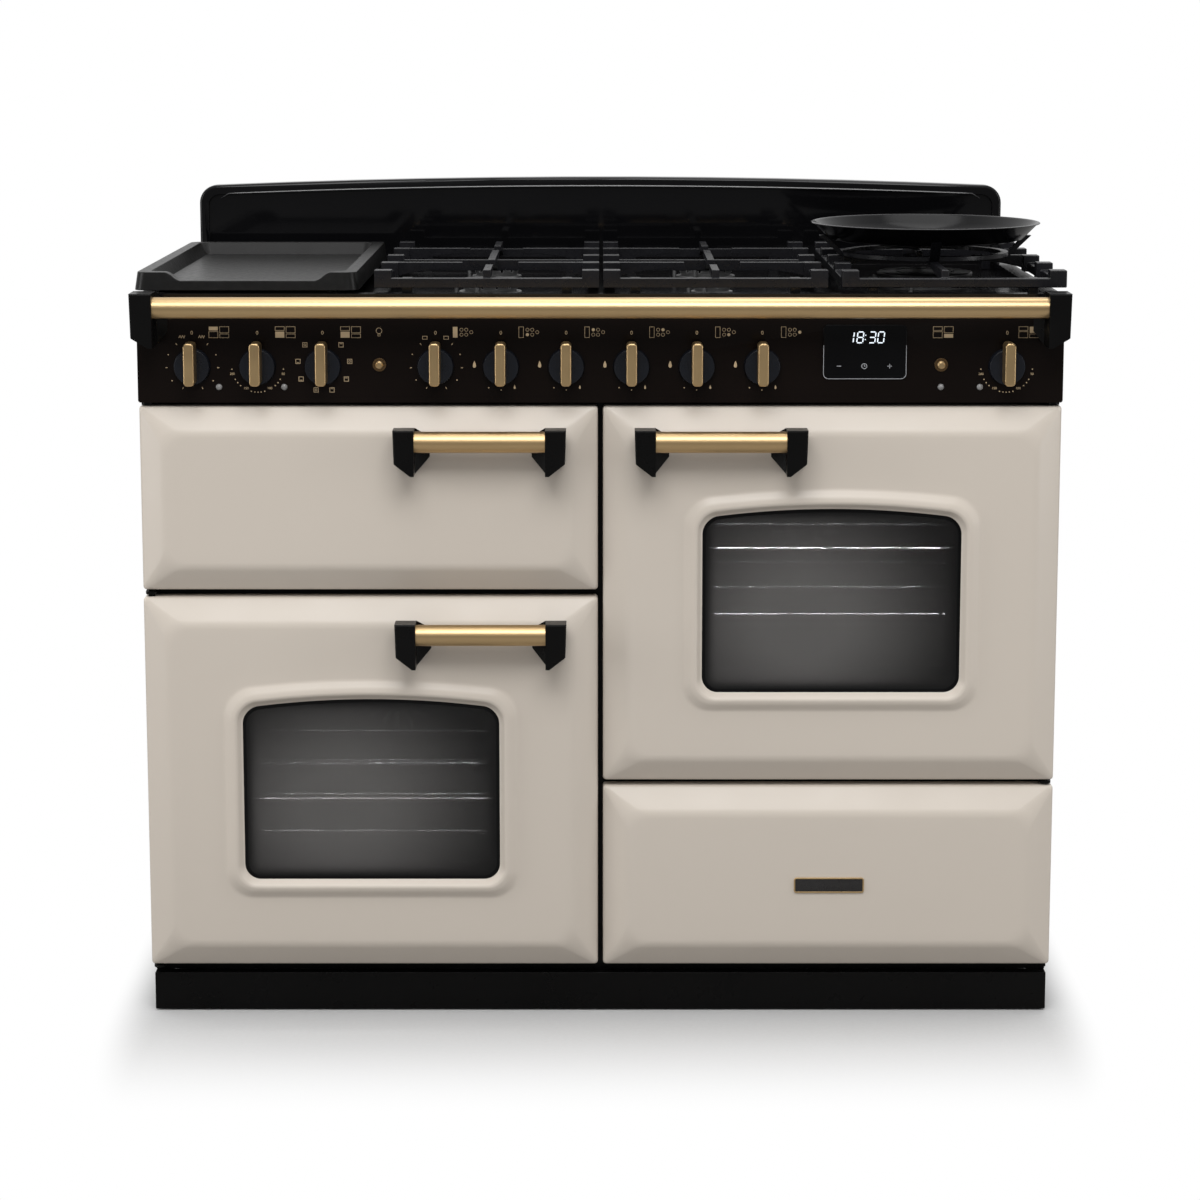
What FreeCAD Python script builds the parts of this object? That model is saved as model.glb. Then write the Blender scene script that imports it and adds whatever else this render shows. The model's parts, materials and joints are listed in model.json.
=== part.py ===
import FreeCAD, Part
import math
import os

# Range cooker with a grill, two ovens, a proving drawer and a gas hob with an electric griddle zone.
# Millimetres. +X is the cook's right, +Y is to the back, +Z is up. The origin is on the floor, under
# the middle of the cooker. Every piece is drawn with y = 0 at the plane of the door edges, and is
# moved back to the cooker's own frame when it is saved.

V = FreeCAD.Vector

# ---- driving dimensions ------------------------------------------------------------------------
body_width = 1090.0          # over the doors and side panels
body_depth = 590.0           # door edge plane to the back panel
hob_height = 879.0           # floor to the rim of the hob tray
backguard_height = 985.0     # floor to the top of the backguard, at its middle
front_projection = 60.0      # handles and towel rail in front of the door edge plane
sheet = 2.0                  # pressed steel of doors, fascia, frame and backguard
cavity_sheet = 1.5           # enamelled steel of the cavities, tray and casing

fascia_height = 115.5        # control panel
fascia_proud = 5.0           # its face in front of the door edge plane
hob_rim = 13.0               # depth of the hob tray's skirt
door_gap_top = 4.5           # under the fascia
door_bottom = 62.0           # floor to the lowest doors
centre_gap = 6.0             # between left and right doors
oven_door_height = 454.0
left_gap = 9.0               # between grill door and left oven door
right_gap = 7.0              # between right oven door and drawer

press_rise = 18.0            # raised field of a door above its edge
press_bevel = 30.0           # width of the bevel round it
press_radius = 20.0          # corner of the raised field
door_edge_radius = 4.0
door_thickness = 22.0        # edge plane to the back of the liner
frame_gap = 4.0              # liner to front frame, filled by the seal
window_width = 306.0
window_height = 221.0
window_arch = 11.0           # rise of the window's top edge
window_radius = 19.0
window_bottom = 112.0        # above the door's bottom edge
bead_width = 24.0            # raised bead round the window
bead_crest = (16.0, 5.5)     # outer and inner edge of its flat top
bead_rise = 4.5
glass_thickness = 4.0

drawer_rail_length = 400.0
drawer_rail_height = 34.0
drawer_rail_depth = 12.0
drawer_rail_wall = 1.5
drawer_rail_spacer = 8.0     # brackets between a rail and the wall that carries it
runner_clearance = 0.5

rung_first = 27.5            # lowest rung above the oven floor
rung_pitch = 40.5
rung_count = 8
ladder_wire = 2.0            # radius of the side ladders' wires
cross_wire = 1.8             # radius of a shelf's wires from front to back
shelf_rungs = {"left": (2, 3), "right": (3, 5)}

handle_length = 202.0        # over the brackets
handle_drop = 37.0           # tube centre below the door's top
handle_edge = 37.0           # outer end from the door's free edge
tube_radius = 12.5           # handles and towel rail
tube_wall = 1.5
bracket_wall = 2.0           # bracket in front of the tube
pin_edge = 9.0               # hinge pin from the door's outer edge
pin_depth = 8.0              # hinge pin behind the door edge plane
pin_radius = 4.0
arm_thickness = 3.0
running = 0.05               # radial clearance of pins, spindles and shafts

cavity_side = 72.0           # cavity opening inside the door's side edges
cavity_bottom = 38.0
cavity_top = 36.0
cavity_back = 122.0          # back of each oven and of the fan behind it, in front of the back panel
grill_side = 60.0
grill_margin = 30.0
opening_radius = 12.0
mouth_lip = 2.6              # the face plate covers the edges of each cavity by this much
baffle_space = 42.0          # fan compartment behind the perforated cover
shelf_wire = 2.5             # radius of the main wires
fan_radius = 68.0

rail_height = 866.4          # towel rail centre
knob_radius = 22.0
knob_bar = (12.5, 50.5, 26.0)    # width, height, depth
knob_bar_raise = 5.5         # middle of the bar above the spindle, so that it points up
knob_height = 793.4
knob_pitch = 76.8
oven_knobs_from_left = 64.8  # first of three
hob_knobs_from_left = 351.2  # first of six
right_knob_from_right = 66.9
spindle_radius = 5.0
button_height = 795.5
button_radius = 4.7
button_travel = 3.0
button_play = 0.4            # round a push button
bezel_radius = 7.9
light_button_from_left = 285.0
drawer_button_from_right = 144.0
clock_from_right = 234.0
clock_size = (98.4, 64.3)
clock_height = 810.6
lamp_height = 769.0
lamp_radius = 3.2
lamp_offset = 31.0           # lamp beside the knob that it belongs to

plinth_top = 48.0
plinth_recess = 10.0
floor_gap = 2.0
foot_height = 8.0
foot_radius = 19.0
inlet_height = 640.0         # gas inlet, on the back
inlet_radius = 14.0
inlet_bore = 9.3             # half inch tapered thread
inlet_thread = 15.0
terminal_height = 640.0      # mains terminal box, on the back
terminal_size = (120.0, 90.0, 34.0)
gland_radius = 14.0
gland_bore = 9.0
bracket_holes = (60.0, 3.0, 130.0)   # spacing, radius and height of the anti-tilt bracket's holes

support_top = 905.0          # pans stand at this height
support_back = 114.0         # pan supports stop this far in front of the back panel
support_width = 265.0
support_front = 14.0
support_bar = 11.0           # height of the outer frame
support_gap = 5.0            # between the two middle supports
rows = 5                     # castellations along each side rail
finger_reach = 34.0          # fingers stop this far from a burner's centre
wok_finger_reach = 58.0
burner_lift = 11.0           # deck to the top of a burner's crown
griddle_width = 265.0
griddle_back = 96.0          # and the griddle this far
griddle_front = 10.0
griddle_overhang = 5.0       # beyond the body's side
zone_margin = 30.0           # glass-ceramic zone inside the griddle's outline
zone_glass = 4.0
wok_radius = 143.0
wok_height = 947.0
wok_depth = 25.0
wok_wall = 2.5
wok_flat = 92.0              # radius of its flat base
wok_left = 10.5              # wok and its burner sit this far left of the support's middle
cradle_ring = 104.0
cradle_base = 5.0

# ---- places worked out from them ---------------------------------------------------------------
half = body_width / 2
y_face = -(front_projection + body_depth) / 2 + front_projection
tray_bottom = hob_height - hob_rim
fascia_bottom = tray_bottom - fascia_height
door_top = fascia_bottom - door_gap_top
y_frame = door_thickness + frame_gap
y_cavity = y_frame + sheet
y_back = body_depth
cavity_depth = y_back - cavity_back - y_cavity
support_length = y_back - support_back - support_front
griddle_length = y_back - griddle_back - griddle_front
door_width = (body_width - centre_gap) / 2
column = (door_width + centre_gap) / 2            # middle of the right-hand doors
left_oven_z = (door_bottom, door_bottom + oven_door_height)
grill_z = (left_oven_z[1] + left_gap, door_top)
right_oven_z = (door_top - oven_door_height, door_top)
drawer_z = (door_bottom, right_oven_z[0] - right_gap)
y_tube = -(front_projection - bracket_wall - tube_radius)
deck = tray_bottom + sheet                        # upper face of the hob tray
casing_bottom = plinth_top + sheet
inner = half - cavity_sheet                       # inner face of the side panels



# ---- building blocks ---------------------------------------------------------------------------
def block(x0, x1, y0, y1, z0, z1):
    """Box between two opposite corners."""
    return Part.makeBox(x1 - x0, y1 - y0, z1 - z0, V(x0, y0, z0))


def rounded_block(x0, x1, y0, y1, z0, z1, radius, axis):
    """Box with the four edges along an axis rounded."""
    solid = block(x0, x1, y0, y1, z0, z1)
    edges = [e for e in solid.Edges if abs(e.tangentAt(e.FirstParameter).dot(axis)) > 0.99]
    return solid.makeFillet(radius, edges)


def rod(radius, start, end):
    """Cylinder between the centres of its two ends."""
    return Part.makeCylinder(radius, (end - start).Length, start, end - start)


def tube(outer, bore, start, end):
    """Cylinder with a bore from end to end."""
    return rod(outer, start, end).cut(rod(bore, start, end))


def bar(radius, start, end, sides=8):
    """Drawn wire between two points, with flats whose distance across is the wire's diameter."""
    along = (end - start).normalize()
    up = V(0, 0, 1) if abs(along.z) < 0.9 else V(0, 1, 0)
    side = along.cross(up)
    corner = radius / math.cos(math.pi / sides)
    turns = [2 * math.pi * (i + 0.5) / sides for i in range(sides)]
    ring = [start + side * (corner * math.cos(t)) + up * (corner * math.sin(t)) for t in turns]
    return prism(ring, end - start)


def prism(points, direction):
    """Closed outline of straight edges, extruded."""
    return Part.Face(Part.makePolygon(points + [points[0]])).extrude(direction)


def line(a, b):
    return Part.LineSegment(a, b).toShape()


def arc(a, b, c):
    return Part.Arc(a, b, c).toShape()


def union(shapes):
    """One solid from pieces that overlap or touch."""
    return shapes[0].multiFuse(shapes[1:]).removeSplitter()


def rounded_wire(x0, x1, z0, z1, radius, y):
    """Rectangle with rounded corners in an upright plane, as four lines and four arcs."""
    k = radius * (1 - math.sqrt(0.5))
    return Part.Wire([
        line(V(x0 + radius, y, z0), V(x1 - radius, y, z0)),
        arc(V(x1 - radius, y, z0), V(x1 - k, y, z0 + k), V(x1, y, z0 + radius)),
        line(V(x1, y, z0 + radius), V(x1, y, z1 - radius)),
        arc(V(x1, y, z1 - radius), V(x1 - k, y, z1 - k), V(x1 - radius, y, z1)),
        line(V(x1 - radius, y, z1), V(x0 + radius, y, z1)),
        arc(V(x0 + radius, y, z1), V(x0 + k, y, z1 - k), V(x0, y, z1 - radius)),
        line(V(x0, y, z1 - radius), V(x0, y, z0 + radius)),
        arc(V(x0, y, z0 + radius), V(x0 + k, y, z0 + k), V(x0 + radius, y, z0)),
    ])


def arched_wire(cx, z0, width, height, rise, radius, y, foot_radius=None):
    """Rectangle with an arched top edge and rounded corners, in an upright plane."""
    a = width / 2
    big = (a * a + rise * rise) / (2 * rise)
    centre = z0 + height - big
    zf = centre + math.sqrt((big - radius) ** 2 - (a - radius) ** 2)
    tx = (a - radius) * big / (big - radius)
    tz = centre + (zf - centre) * big / (big - radius)
    turn = math.atan2(zf - centre, a - radius) / 2
    mx, mz = a - radius + radius * math.cos(turn), zf + radius * math.sin(turn)
    low = radius if foot_radius is None else foot_radius
    k = low * (1 - math.sqrt(0.5))
    edges = [line(V(cx - a + low, y, z0), V(cx + a - low, y, z0))]
    if low > 0:
        edges.append(arc(V(cx + a - low, y, z0), V(cx + a - k, y, z0 + k), V(cx + a, y, z0 + low)))
    edges += [
        line(V(cx + a, y, z0 + low), V(cx + a, y, zf)),
        arc(V(cx + a, y, zf), V(cx + mx, y, mz), V(cx + tx, y, tz)),
        arc(V(cx + tx, y, tz), V(cx, y, z0 + height), V(cx - tx, y, tz)),
        arc(V(cx - tx, y, tz), V(cx - mx, y, mz), V(cx - a, y, zf)),
        line(V(cx - a, y, zf), V(cx - a, y, z0 + low)),
    ]
    if low > 0:
        edges.append(arc(V(cx - a, y, z0 + low), V(cx - a + k, y, z0 + k), V(cx - a + low, y, z0)))
    return Part.Wire(edges)


def skin(wires):
    """Solid through a row of outlines, with straight rulings between them."""
    return Part.makeLoft(wires, True, True)


def plate(wire, thickness):
    """Outline in an upright plane, extruded backwards."""
    return Part.Face(wire).extrude(V(0, thickness, 0))


def bent_tube(points, radius, bend):
    """Round bar along straight runs joined by bends."""
    edges = []
    start = points[0]
    for before, corner, after in zip(points, points[1:], points[2:]):
        into = (corner - before).normalize()
        out = (after - corner).normalize()
        cut = bend * math.tan(into.getAngle(out) / 2)
        first, last = corner - into * cut, corner + out * cut
        inward = (out - into).normalize()
        middle = corner + inward * (math.hypot(bend, cut) - bend)
        edges += [line(start, first), arc(first, middle, last)]
        start = last
    edges.append(line(start, points[-1]))
    circle = Part.Wire(Part.makeCircle(radius, points[0], points[1] - points[0]))
    return Part.Wire(edges).makePipeShell([circle], True, True)


def mirrored(shape):
    """The same piece on the other side of the cooker."""
    return shape.mirror(V(0, 0, 0), V(1, 0, 0))


def moved(shape, x=0.0, y=0.0, z=0.0):
    copy = shape.copy()
    copy.translate(V(x, y, z))
    return copy


def save(name, shape):
    """Moves a piece from the door plane to the cooker's frame and writes its file."""
    moved(shape, y=y_face).exportStep("parts/" + name + ".step")


def group(shapes):
    return Part.makeCompound(shapes)


def span(a, b):
    """Two ends in rising order."""
    return min(a, b), max(a, b)


def middle(limits):
    """Centre of a compartment's front, across and up."""
    x0, x1, z0, z1 = limits
    return (x0 + x1) / 2, (z0 + z1) / 2


# ---- casing ------------------------------------------------------------------------------------
def side_panel():
    """Right side panel: a plate with folded front and back edges."""
    fold = 8.0
    y0, y1 = y_cavity, y_back - sheet
    panel = block(inner, half, y_frame, y1, casing_bottom, tray_bottom)
    front = block(inner - fold, inner, y0, y0 + cavity_sheet, casing_bottom, fascia_bottom)
    back = block(inner - fold, inner, y1 - cavity_sheet, y1, casing_bottom, tray_bottom)
    return union([panel, front, back])


inlet_x, inlet_z = column, inlet_height
terminal_x, terminal_z = -column, terminal_height


def back_panel():
    """Galvanised back with vent slots, the bracket holes, and openings for gas and mains."""
    panel = block(-half, half, y_back - sheet, y_back, casing_bottom, tray_bottom)
    slot_length, slot_height, slot_pitch, slot_top = 70.0, 6.0, 18.0, 60.0
    cuts = []
    for side in (-1, 1):
        for column_step in (-1, 0, 1):
            x = side * column + column_step * 1.4 * slot_length
            for step in range(5):
                z = tray_bottom - slot_top - step * slot_pitch
                cuts.append(block(x - slot_length / 2, x + slot_length / 2, y_back - 2 * sheet,
                                  y_back + 1, z, z + slot_height))
    w, h, _ = terminal_size
    cuts.append(block(terminal_x - w / 2, terminal_x + w / 2, y_back - 2 * sheet, y_back + 1,
                      terminal_z - h / 2, terminal_z + h / 2))
    cuts.append(rod(inlet_radius + 1, V(inlet_x, y_back - 10, inlet_z), V(inlet_x, y_back + 1, inlet_z)))
    spacing, radius, z = bracket_holes
    for x in (-spacing / 2, spacing / 2):
        cuts.append(rod(radius, V(x, y_back - 10, z), V(x, y_back + 1, z)))
    return panel.cut(cuts)


drawer_tray_z = (drawer_z[0] + 22.0, drawer_z[1] - 45.0)
runner_z = (drawer_tray_z[0] + drawer_tray_z[1]) / 2
divider = 4.0                                     # half the width of the centre divider


def drawer_rail(wall_x, inward):
    """Fixed channel that the drawer's runner slides in, on two spacers."""
    y0, y1 = y_cavity + 2, y_cavity + 2 + drawer_rail_length
    z0, z1 = runner_z - drawer_rail_height / 2, runner_z + drawer_rail_height / 2
    x, wall = wall_x + inward * drawer_rail_spacer, drawer_rail_wall
    channel = block(*span(x, x + inward * drawer_rail_depth), y0, y1, z0, z1)
    channel = channel.cut(block(*span(x + inward * wall, x + inward * (drawer_rail_depth + 1)),
                                y0 - 1, y1 + 1, z0 + wall, z1 - wall))
    length, edge = 24.0, 6.0
    spacers = [block(*span(wall_x, x), y, y + length, z0 + edge, z1 - edge) for y in (y0 + 30, y1 - 60)]
    return union([channel] + spacers)


def base_frame():
    """Base pan, folded centre divider and the two fixed drawer rails."""
    pan = block(-inner, inner, y_cavity, y_back - sheet, plinth_top, casing_bottom)
    wall = block(-divider, divider, y_cavity, y_back - sheet, casing_bottom, fascia_bottom)
    wall = wall.cut(block(-divider + cavity_sheet, divider - cavity_sheet, y_cavity - 1,
                          y_back - sheet - cavity_sheet, casing_bottom + 1, fascia_bottom + 1))
    return group([pan, wall, drawer_rail(divider, 1), drawer_rail(inner, -1)])


def hinge_arm(side, z0, z1, pins):
    """Plate in the gap between doors, with a pin up, down or both."""
    x = side * (half - pin_edge)
    width, pin_length = 14.0, 12.0
    arm = block(x - width / 2, x + width / 2, pin_depth, y_frame, z0, z1)
    boss = rod(width / 2, V(x, pin_depth, z0), V(x, pin_depth, z1))
    parts = [arm, boss]
    if "up" in pins:
        parts.append(rod(pin_radius, V(x, pin_depth, z0), V(x, pin_depth, z1 + pin_length)))
    if "down" in pins:
        parts.append(rod(pin_radius, V(x, pin_depth, z1), V(x, pin_depth, z0 - pin_length)))
    return union(parts)


def cavity_box(side, z_range, side_margin, low, high):
    """Inner limits of a compartment: x0, x1, z0, z1."""
    reach = door_width / 2 - side_margin
    return (side * column - reach, side * column + reach, z_range[0] + low, z_range[1] - high)


left_oven = cavity_box(-1, left_oven_z, cavity_side, cavity_bottom, cavity_top)
right_oven = cavity_box(1, right_oven_z, cavity_side, cavity_bottom, cavity_top)
grill_box = cavity_box(-1, grill_z, grill_side, grill_margin, grill_margin)
drawer_margin = 7.0
drawer_box = (centre_gap / 2 + drawer_margin, half - drawer_margin + 1,
              door_bottom - 6, drawer_z[1] - 12)


def face_strips():
    """Strips of the face plate: rails across each column, and a stile on each side of every mouth."""
    def strip(x0, x1, z0, z1):
        return block(x0, x1, y_frame, y_cavity, z0, z1)

    def mouth(limits):
        x0, x1, z0, z1 = limits
        return (x0 + mouth_lip, x1 - mouth_lip, z0 + mouth_lip, z1 - mouth_lip)

    strips = []
    for left, right, mouths in ((-inner, 0, (mouth(left_oven), mouth(grill_box))),
                                (0, inner, (drawer_box, mouth(right_oven)))):
        low = plinth_top
        for x0, x1, z0, z1 in mouths:
            strips += [strip(left, right, low, z0), strip(left, x0, z0, z1), strip(x1, right, z0, z1)]
            low = z1
        strips.append(strip(left, right, low, fascia_bottom))
    return strips


def front_frame():
    """Enamelled face plate of welded strips round four mouths, and five hinge arms with their pins."""
    top = (door_top + 0.75, door_top + 0.75 + arm_thickness)
    between = left_oven_z[1] + (left_gap - arm_thickness) / 2
    between = (between, between + arm_thickness)
    low = (door_bottom - 2 - arm_thickness, door_bottom - 2)
    right_low = (right_oven_z[0] - 2 - arm_thickness, right_oven_z[0] - 2)
    return group(face_strips() + [
        hinge_arm(-1, *top, ("down",)),
        hinge_arm(-1, *between, ("up", "down")),
        hinge_arm(-1, *low, ("up",)),
        hinge_arm(1, *top, ("down",)),
        hinge_arm(1, *right_low, ("up",))])


def plinth():
    """Front board of the plinth with its two side returns and a top flange."""
    reach = half - 2
    y0, y1 = plinth_recess, y_back - 30
    front = block(-reach, reach, y0, y0 + sheet, floor_gap, plinth_top)
    sides = [block(x, x + sheet, y0, y1, floor_gap, plinth_top) for x in (-reach, reach - sheet)]
    top = block(-reach, reach, y0, y_frame, plinth_top - sheet, plinth_top)
    return union([front, top] + sides)


def levelling_feet():
    """Screw feet under the corners of the base pan."""
    chamfer, neck, screw_radius = 3.0, 9.0, 6.0
    feet = []
    for x in (-half + 50, half - 50):
        for y in (y_cavity + 40, y_back - 60):
            pad = rod(foot_radius, V(x, y, 0), V(x, y, foot_height - chamfer))
            cone = Part.makeCone(foot_radius, neck, chamfer, V(x, y, foot_height - chamfer), V(0, 0, 1))
            screw = rod(screw_radius, V(x, y, foot_height), V(x, y, plinth_top))
            feet.append(union([pad, cone, screw]))
    return group(feet)


os.makedirs("parts", exist_ok=True)
right_side = side_panel()
save("side_panels", group([right_side, mirrored(right_side)]))
save("back_panel", back_panel())
save("base_frame", base_frame())
save("front_frame", front_frame())
save("plinth", plinth())
save("levelling_feet", levelling_feet())


# ---- hob ---------------------------------------------------------------------------------------
support_middle = -(support_gap / 2 + support_width / 2) + 1      # first support, second mirrored about 1
support_x = (support_middle, support_gap + support_width + support_middle,
             half + griddle_overhang - support_width / 2)
row_pitch = (support_length - 20) / (rows - 1)
row_y = [support_front + 10 + i * row_pitch for i in range(rows)]
wok_x = support_x[2] - wok_left
wok_y = row_y[2]
burners = [                                       # x, y, crown radius
    (support_x[0], row_y[1], 36.0),
    (support_x[0], row_y[3], 30.0),
    (support_x[1], row_y[1], 24.0),
    (support_x[1], row_y[3], 36.0),
    (wok_x, wok_y, 60.0),
]
griddle_x0 = -(half + griddle_overhang)
griddle_x1 = griddle_x0 + griddle_width
zone = (griddle_x0 + zone_margin, griddle_x1 - zone_margin,
        griddle_front + 2 * zone_margin, griddle_front + griddle_length - 2 * zone_margin)
tray_reach = half - 3
tray_front, tray_back = -6.0, y_back - sheet - 20
tray_ledge = 20.0


def hob_tray():
    """Pressed spillage tray: raised rim, sunk deck, burner and zone openings, flue slots at the back."""
    body = rounded_block(-tray_reach, tray_reach, tray_front, tray_back, tray_bottom, hob_height, 6,
                         V(0, 0, 1))
    sunk = rounded_block(-tray_reach + tray_ledge, tray_reach - tray_ledge, tray_front + tray_ledge,
                         tray_back - tray_ledge, deck, hob_height + 1, 14, V(0, 0, 1))
    under = rounded_block(-tray_reach + sheet, tray_reach - sheet, tray_front + sheet, tray_back - sheet,
                          tray_bottom - 1, hob_height - sheet, 4, V(0, 0, 1))
    keep = rounded_block(-tray_reach + tray_ledge - sheet, tray_reach - tray_ledge + sheet,
                         tray_front + tray_ledge - sheet, tray_back - tray_ledge + sheet,
                         tray_bottom - 2, hob_height, 16, V(0, 0, 1))
    cuts = [sunk, under.cut(keep)]
    cuts += [rod(radius * 0.6, V(x, y, tray_bottom - 1), V(x, y, hob_height)) for x, y, radius in burners]
    cuts.append(block(zone[0] + 10, zone[1] - 10, zone[2] + 10, zone[3] - 10, tray_bottom - 1, hob_height))
    flue_pitch, flue_width = 48.0, 34.0
    count = int(2 * (tray_reach - 80) / flue_pitch)
    for i in range(count):
        x = (i - (count - 1) / 2) * flue_pitch
        y = tray_back - tray_ledge / 2 - 1
        cuts.append(block(x - flue_width / 2, x + flue_width / 2, y - 4, y + 4,
                          hob_height - 3, hob_height + 1))
    return body.cut(cuts)


def ceramic_zone():
    """Glass-ceramic plate of the griddle zone, laid over the opening in the deck."""
    return rounded_block(*zone, deck, deck + zone_glass, 8, V(0, 0, 1))


def burner_body(x, y, radius):
    """Burner cup with a slotted crown, its jet holder under the deck, and two pins beside it."""
    top = deck + burner_lift
    cup = Part.makeCone(radius * 0.82, radius * 0.94, burner_lift * 0.6, V(x, y, deck), V(0, 0, 1))
    crown = rod(radius * 0.94, V(x, y, deck + burner_lift * 0.6), V(x, y, top))
    neck = rod(radius * 0.6 - 1, V(x, y, deck - 24), V(x, y, deck))
    flange = rod(radius * 1.06, V(x, y, deck), V(x, y, deck + 2))
    body = union([cup, crown, neck, flange])
    ports, port_width, port_depth = 12, 2.4, 4.0
    slots = []
    for i in range(ports):
        port = block(x + radius * 0.72, x + radius + 1, y - port_width / 2, y + port_width / 2,
                     top - port_depth, top + 1)
        port.rotate(V(x, y, 0), V(0, 0, 1), 360.0 * (i + 0.5) / ports)
        slots.append(port)
    body = body.cut(slots)
    pins = []
    pin_circle, igniter_radius = radius * 1.06 + 5, 2.5
    for angle in (200, 250):
        px = x + pin_circle * math.cos(math.radians(angle))
        py = y + pin_circle * math.sin(math.radians(angle))
        pins.append(rod(igniter_radius, V(px, py, deck), V(px, py, top + 3)))
    return [body] + pins


def burner_cap(x, y, radius):
    """Enamelled cap with a rounded edge, resting on the crown."""
    low = deck + burner_lift
    tall = 6.0
    cap = rod(radius, V(x, y, low), V(x, y, low + tall))
    rim = [e for e in cap.Edges if abs(e.BoundBox.ZMin - low - tall) < 0.01 and e.BoundBox.ZLength < 0.01]
    cap = cap.makeFillet(3.0, rim)
    if radius > 50:
        ring = radius * 0.55
        groove = tube(ring + 5, ring, V(x, y, low), V(x, y, low + tall))
        bridge = block(x - ring - 6, x + ring + 6, y - 6, y + 6, low, low + tall)
        cap = cap.cut(groove.cut(bridge))
    return cap


save("hob_tray", hob_tray())
save("ceramic_zone", ceramic_zone())
save("burner_bodies", group([solid for b in burners for solid in burner_body(*b)]))
save("burner_caps", group([burner_cap(*b) for b in burners]))


# ---- pan supports ------------------------------------------------------------------------------
bar_bottom = support_top - 20.5
bar_top = bar_bottom + support_bar
block_size = (20.0, 22.0)
rail_width = 15.0
finger_width = 9.0
finger_tip = 7.0
foot_inset = 38.0


def finger_profile(tip, root, along):
    """Flat-topped finger with an arched underside, from the rail to its tip, in an upright plane."""
    length = root - tip
    mid = tip + length * 0.55
    points = [(tip, support_top - finger_tip), (mid, support_top - finger_tip - 3.5), (root, bar_bottom + 1)]
    low = [along(*p) for p in points]
    top_tip, top_root = along(tip, support_top), along(root, support_top)
    wire = Part.Wire([line(top_root, top_tip), line(top_tip, low[0]), arc(low[0], low[1], low[2]),
                      line(low[2], top_root)])
    return Part.Face(wire)


def side_finger(x_root, x_tip, y):
    """Finger from a side rail towards a burner."""
    face = finger_profile(x_tip, x_root, lambda u, z: V(u, y - finger_width / 2, z))
    return face.extrude(V(0, finger_width, 0))


def long_finger(y_root, y_tip, x):
    """Finger from the front or back bar towards a burner."""
    face = finger_profile(y_tip, y_root, lambda u, z: V(x - finger_width / 2, u, z))
    return face.extrude(V(finger_width, 0, 0))


def support_frame(cx):
    """Outer frame with castellated side rails and four feet."""
    x0, x1 = cx - support_width / 2, cx + support_width / 2
    y0, y1 = support_front, support_front + support_length
    parts = []
    for x in (x0, x1 - rail_width):
        parts.append(block(x, x + rail_width, y0, y1, bar_bottom, bar_top))
    for y in (y0, y1 - 12):
        parts.append(block(x0, x1, y, y + 12, bar_bottom, bar_top))
    for y in row_y:
        for x in (x0, x1 - block_size[0]):
            parts.append(block(x, x + block_size[0], y - block_size[1] / 2 + 1, y + block_size[1] / 2 - 1,
                               bar_bottom, support_top))
    for x in (x0 + foot_inset, x1 - foot_inset):
        for y in (row_y[0] + 4, row_y[-1] - 4):
            parts.append(block(x - 6, x + 6, y - 6, y + 6, deck, bar_top))
    return parts


def twin_support(cx):
    """Support over a front and a rear burner."""
    x0, x1 = cx - support_width / 2 + 10, cx + support_width / 2 - 10
    parts = support_frame(cx)
    for y in (row_y[1], row_y[3]):
        parts.append(side_finger(x0, cx - finger_reach, y))
        parts.append(side_finger(x1, cx + finger_reach, y))
    parts.append(long_finger(support_front + 6, row_y[1] - finger_reach, cx))
    parts.append(long_finger(support_front + support_length - 6, row_y[3] + finger_reach, cx))
    parts.append(long_finger(row_y[2], row_y[1] + finger_reach, cx))
    parts.append(long_finger(row_y[2], row_y[3] - finger_reach, cx))
    parts.append(block(x0, x1, row_y[2] - 4, row_y[2] + 4, bar_bottom + 1, support_top - 6))
    return union(parts)


def wok_support(cx):
    """Support over the single wok burner."""
    reach = wok_finger_reach
    x0, x1 = cx - support_width / 2 + 10, cx + support_width / 2 - 10
    parts = support_frame(cx)
    parts.append(side_finger(x0, wok_x - reach, wok_y))
    parts.append(side_finger(x1, wok_x + reach, wok_y))
    parts.append(long_finger(support_front + 6, wok_y - reach, wok_x))
    parts.append(long_finger(support_front + support_length - 6, wok_y + reach, wok_x))
    return union(parts)


save("left_pan_support", twin_support(support_x[0]))
save("middle_pan_support", twin_support(support_x[1]))
save("right_pan_support", wok_support(support_x[2]))


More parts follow.
